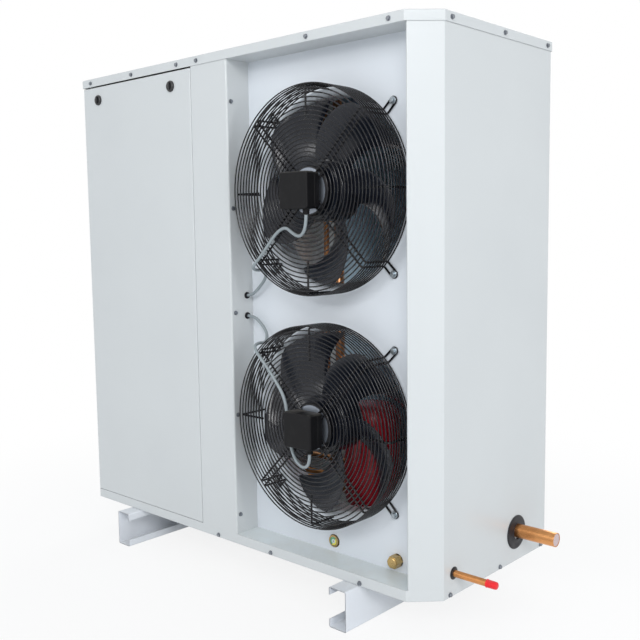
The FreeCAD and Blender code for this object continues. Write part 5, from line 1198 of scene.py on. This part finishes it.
def buildGrommet(name, node, centre, look):
    # moulded ring with a rounded lip and a shallow groove
    boreR, lipR, lipT = look["boreR"], look["lipR"], look["lipT"]
    wide = lipR - boreR
    foot = -look["foot"]
    profile = [(foot, boreR), (lipT * 0.9, boreR), (lipT, boreR + 0.0012), (lipT * 0.86, boreR + 0.004),
               (lipT * 0.62, boreR + wide * 0.45), (lipT * 0.66, boreR + wide * 0.62), (lipT * 0.60, lipR - 0.003),
               (lipT * 0.42, lipR - 0.0008), (lipT * 0.2, lipR), (0.0, lipR - 0.0004), (0.0, boreR + wide * 0.5),
               (foot, boreR + wide * 0.5), (foot, boreR)]
    lathePiece(name, profile, centre, (1, 0, 0), 64, "rubberBlack", node, sharp=50, caps=False)


leadGrommet = {"lipR": 0.009, "boreR": 0.00405, "lipT": 0.005, "foot": 0.004}
for grommetIndex, wallSpot in enumerate(wallSpots):
    buildGrommet(f"leadGrommet{grommetIndex}", None if grommetIndex else "lead_grommets", wallSpot, leadGrommet)
print("terminal boxes, leads and grommets")


# screws

def hexHead(shape, base, axis, width, height, crown):
    # six flats whose corners are turned down by a rounded crown
    axis, first, second = crossAxes(axis)
    flatR = width / 2
    cornerR = flatR * 1.155      # corners over flats
    rings = []
    for along, scale in ((0, 1.0), (height - crown, 1.0), (height - crown * 0.3, 0.94), (height, 0.80)):
        radii = [min(flatR / math.cos(a % (math.pi / 3) - math.pi / 6), cornerR * scale) for a in fullTurn(24)]
        rings.append([base + axis * along + (first * math.cos(a) + second * math.sin(a)) * r
                      for a, r in zip(fullTurn(24), radii)])
    shape.rings(rings, caps=True)


def outward(low, high, margin=0.001):
    # direction in which a screw's head stands out of the cabinet, or into the recess
    if low.x < trayLow.x - margin:
        return Vector((-1, 0, 0))
    if high.y > trayHigh.y + margin:
        return Vector((0, 1, 0))
    if low.y < trayLow.y - margin:
        return Vector((0, -1, 0))
    return Vector((1, 0, 0))


def buildScrews(name, node, finish, look, shank=0):
    # hexagonal heads with washers where the CAD has its screws
    heads = Shape()
    thick = look["washerT"]
    for low, high in islands(node):
        away = Vector((0, -1, 0)) if shank else outward(low, high)
        middle = mid(low, high)
        tip = Vector([(high if away[i] > 0 else low)[i] if away[i] else middle[i] for i in range(3)])
        seat = tip - away * (look["headT"] + thick)
        washer = [(thick * share, radius) for share, radius in look["washer"]]
        lathe(heads, washer, seat, away, look["washerSteps"])
        hexHead(heads, seat + away * thick, away, look["headW"], look["headT"], look["crown"])
        if shank:
            rod(heads, seat, (0, 1, 0), 0, shank, look["shankR"], 16)
    newPiece(name, heads, finish, node, sharp=30)


# washer: (share of its thickness, radius)
cabinetScrew = {"headW": 0.008, "headT": 0.004, "crown": 0.0008, "washerT": 0.001, "washerSteps": 32,
                "washer": [(0, 0), (0, 0.006), (0.6, 0.006), (1, 0.0052), (1.05, 0.004), (1.05, 0)]}
buildScrews("cabinetScrewHeads", "cabinet_screws", "zincDull", cabinetScrew)
guardScrew = {"headW": 0.010, "headT": 0.005, "crown": 0.001, "shankR": 0.003, "washerT": 0.0016, "washerSteps": 40,
              "washer": [(0, 0), (0, 0.009), (0.7, 0.009), (1, 0.0085), (1, 0)]}
buildScrews("guardScrewHeads", "guard_screws", "zincBright", guardScrew, shank=0.0056)
print("screws")


# pipe stubs on the right side

def buildStubs(look):
    low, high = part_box("suction_end_plate")
    end = Vector((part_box("suction_pipe")[1].x, mid(low, high).y, mid(low, high).z))
    lathePiece("suctionEndDisc", look["plate"], end, (1, 0, 0), 56, "plugPale", "suction_end_plate")
    for name in ("suction", "liquid"):
        middle = mid(*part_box(name + "_grommet"))
        buildGrommet(name + "GrommetRing", name + "_grommet", Vector((sideHigh.x, middle.y, middle.z)),
                     look[name + "Grommet"])
    low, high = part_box("liquid_pipe_cap")
    middle = mid(low, high)
    long = high.x - low.x
    r = (high.y - low.y) / 2
    profile = [(-look["capTop"], 0), (-look["capTop"], look["capBoreR"]), (-long, look["capBoreR"]), (-long, r)]
    profile += [(less - long, r - narrower) for less, narrower in look["capMouth"]]
    profile += [(-less, r - narrower) for less, narrower in look["capEnd"]] + [(0, 0)]
    lathePiece("liquidCap", profile, (high.x, middle.y, middle.z), (1, 0, 0), 48, "capRed",
               "liquid_pipe_cap", "pipe_cap", 35)


stubs = {"plate": [(-0.003, 0), (-0.003, 0.0159), (-0.0012, 0.0159), (-0.0006, 0.0149), (-0.0008, 0.0119),
                   (-0.0004, 0)],
         "suctionGrommet": {"lipR": 0.043, "boreR": 0.0176, "lipT": 0.006, "foot": 0.004},
         "liquidGrommet": {"lipR": 0.015, "boreR": 0.00805, "lipT": 0.003, "foot": 0.004},
         "capTop": 0.002, "capBoreR": 0.0081, "capMouth": [(0.0016, 0), (0.0022, 0.0006)],
         "capEnd": [(0.004, 0.0010), (0.0012, 0.0018), (0, 0.0036)]}
buildStubs(stubs)
coat("copperTube", "suction_pipe", "liquid_pipe")
coat("copperRiser", "discharge_pipe", "condensate_pipe")


# sight glass and service valve

def buildValveCap(look):
    low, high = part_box("service_valve_cap")
    middle = mid(low, high)
    centre = Vector((middle.x, high.y, middle.z))
    long = high.y - low.y
    shape = Shape()
    hexHead(shape, centre, (0, -1, 0), look["flats"], long - look["crownDeep"], look["crown"])
    lathe(shape, [(long - less, radius) for less, radius in look["end"]], centre, (0, -1, 0), 48)
    newPiece("valveCapHex", shape, "brassTurned", "service_valve_cap", sharp=30)


valveCap = {"flats": 0.028, "crownDeep": 0.003, "crown": 0.0015,
            "end": [(0.0045, 0), (0.0045, 0.0132), (0.0012, 0.0128), (0, 0.011), (0, 0)]}
buildValveCap(valveCap)
coat("brassTurned", "sight_glass_body", "service_valve")
coat("sightLens", "sight_glass_lens")
print("pipe stubs and valves")


# foot channels

def buildFoot(node, side, look):
    low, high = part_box(node)
    web = low.x if side > 0 else high.x
    tall = high.z - low.z
    wide = high.x - low.x
    plan = [(wide, look["lip"]), (wide, 0), (0, 0), (0, tall), (wide, tall), (wide, tall - look["lip"])]
    line = bentPath([(web + side * u, 0, low.z + v) for u, v in plan], look["bend"], 5)[::side]
    shape = Shape()
    shape.rings([[Vector((p.x, y, p.z)) for p in line] for y in (low.y, high.y)], closedRing=False)
    # the feet take the lightened paint: painted light in place of the floor's bounce
    newPiece(node.replace("_channel", "Steel"), shape, "feetPaint", node, sheet=look["steel"],
             turned=False)


foot = {"lip": 0.020, "bend": 0.0045, "steel": 0.0025}
buildFoot("left_foot_channel", 1, foot)
buildFoot("right_foot_channel", -1, foot)
print("feet")


# coil behind the fans

def buildCoil(look):
    low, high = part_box("coil_fins")
    count = int((high.x - low.x) / look["finPitch"])
    step = (high.x - low.x) / count
    shape = Shape()
    for i in range(count):
        x = low.x + (i + 0.5) * step
        boxed(shape, (x - look["finT"] / 2, low.y, low.z), (x + look["finT"] / 2, high.y, high.z))
    # the fins' brightened blue is partly painted backlight
    newPiece("coilFinPlates", shape, "finBlue", "coil_fins")


coil = {"finPitch": 0.0032, "finT": 0.0003}
buildCoil(coil)
coat("copperTube", "coil_tubes")
coat("copperRiser", "coil_headers")
coat("galvanised", "coil_end_plates", "partition_wall", "electrical_box", "electrical_box_cover", "receiver_foot")
coat("guardGloss", "coil_guard")


# vessels

def buildReceiver(look):
    low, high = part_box("liquid_receiver")
    centre = mid(low, high)
    r = (high.x - low.x) / 2
    tall = high.z - low.z
    dome = look["dome"]
    bowl = [(dome * (1 - math.cos(a)), r - dome + dome * math.sin(a)) for a in quarterTurn(8)]
    profile = [(0, 0)] + bowl + [(tall * 0.5 + along, r - narrower) for along, narrower in look["seam"]]
    profile += [(tall - along, radius) for along, radius in reversed(bowl)] + [(tall, 0)]
    lathePiece("receiverShell", profile, (centre.x, centre.y, low.z), (0, 0, 1), 72, "receiverRed",
               "liquid_receiver", sharp=50)


# seam: along from half height, how much narrower
receiver = {"dome": 0.042, "seam": [(-0.006, 0), (-0.003, 0), (0, 0.0012), (0.003, 0), (0.006, 0)]}
buildReceiver(receiver)
coat("drierPaint", "filter_drier")
coat("shellBlack", "compressor_shell", "compressor_base_plate")
coat("rubberBlack", "compressor_rubber_mounts")
coat("zincBright", "compressor_mount_bolts")
coat("boxBlack", "compressor_terminal_cover")
print("coil and vessels")
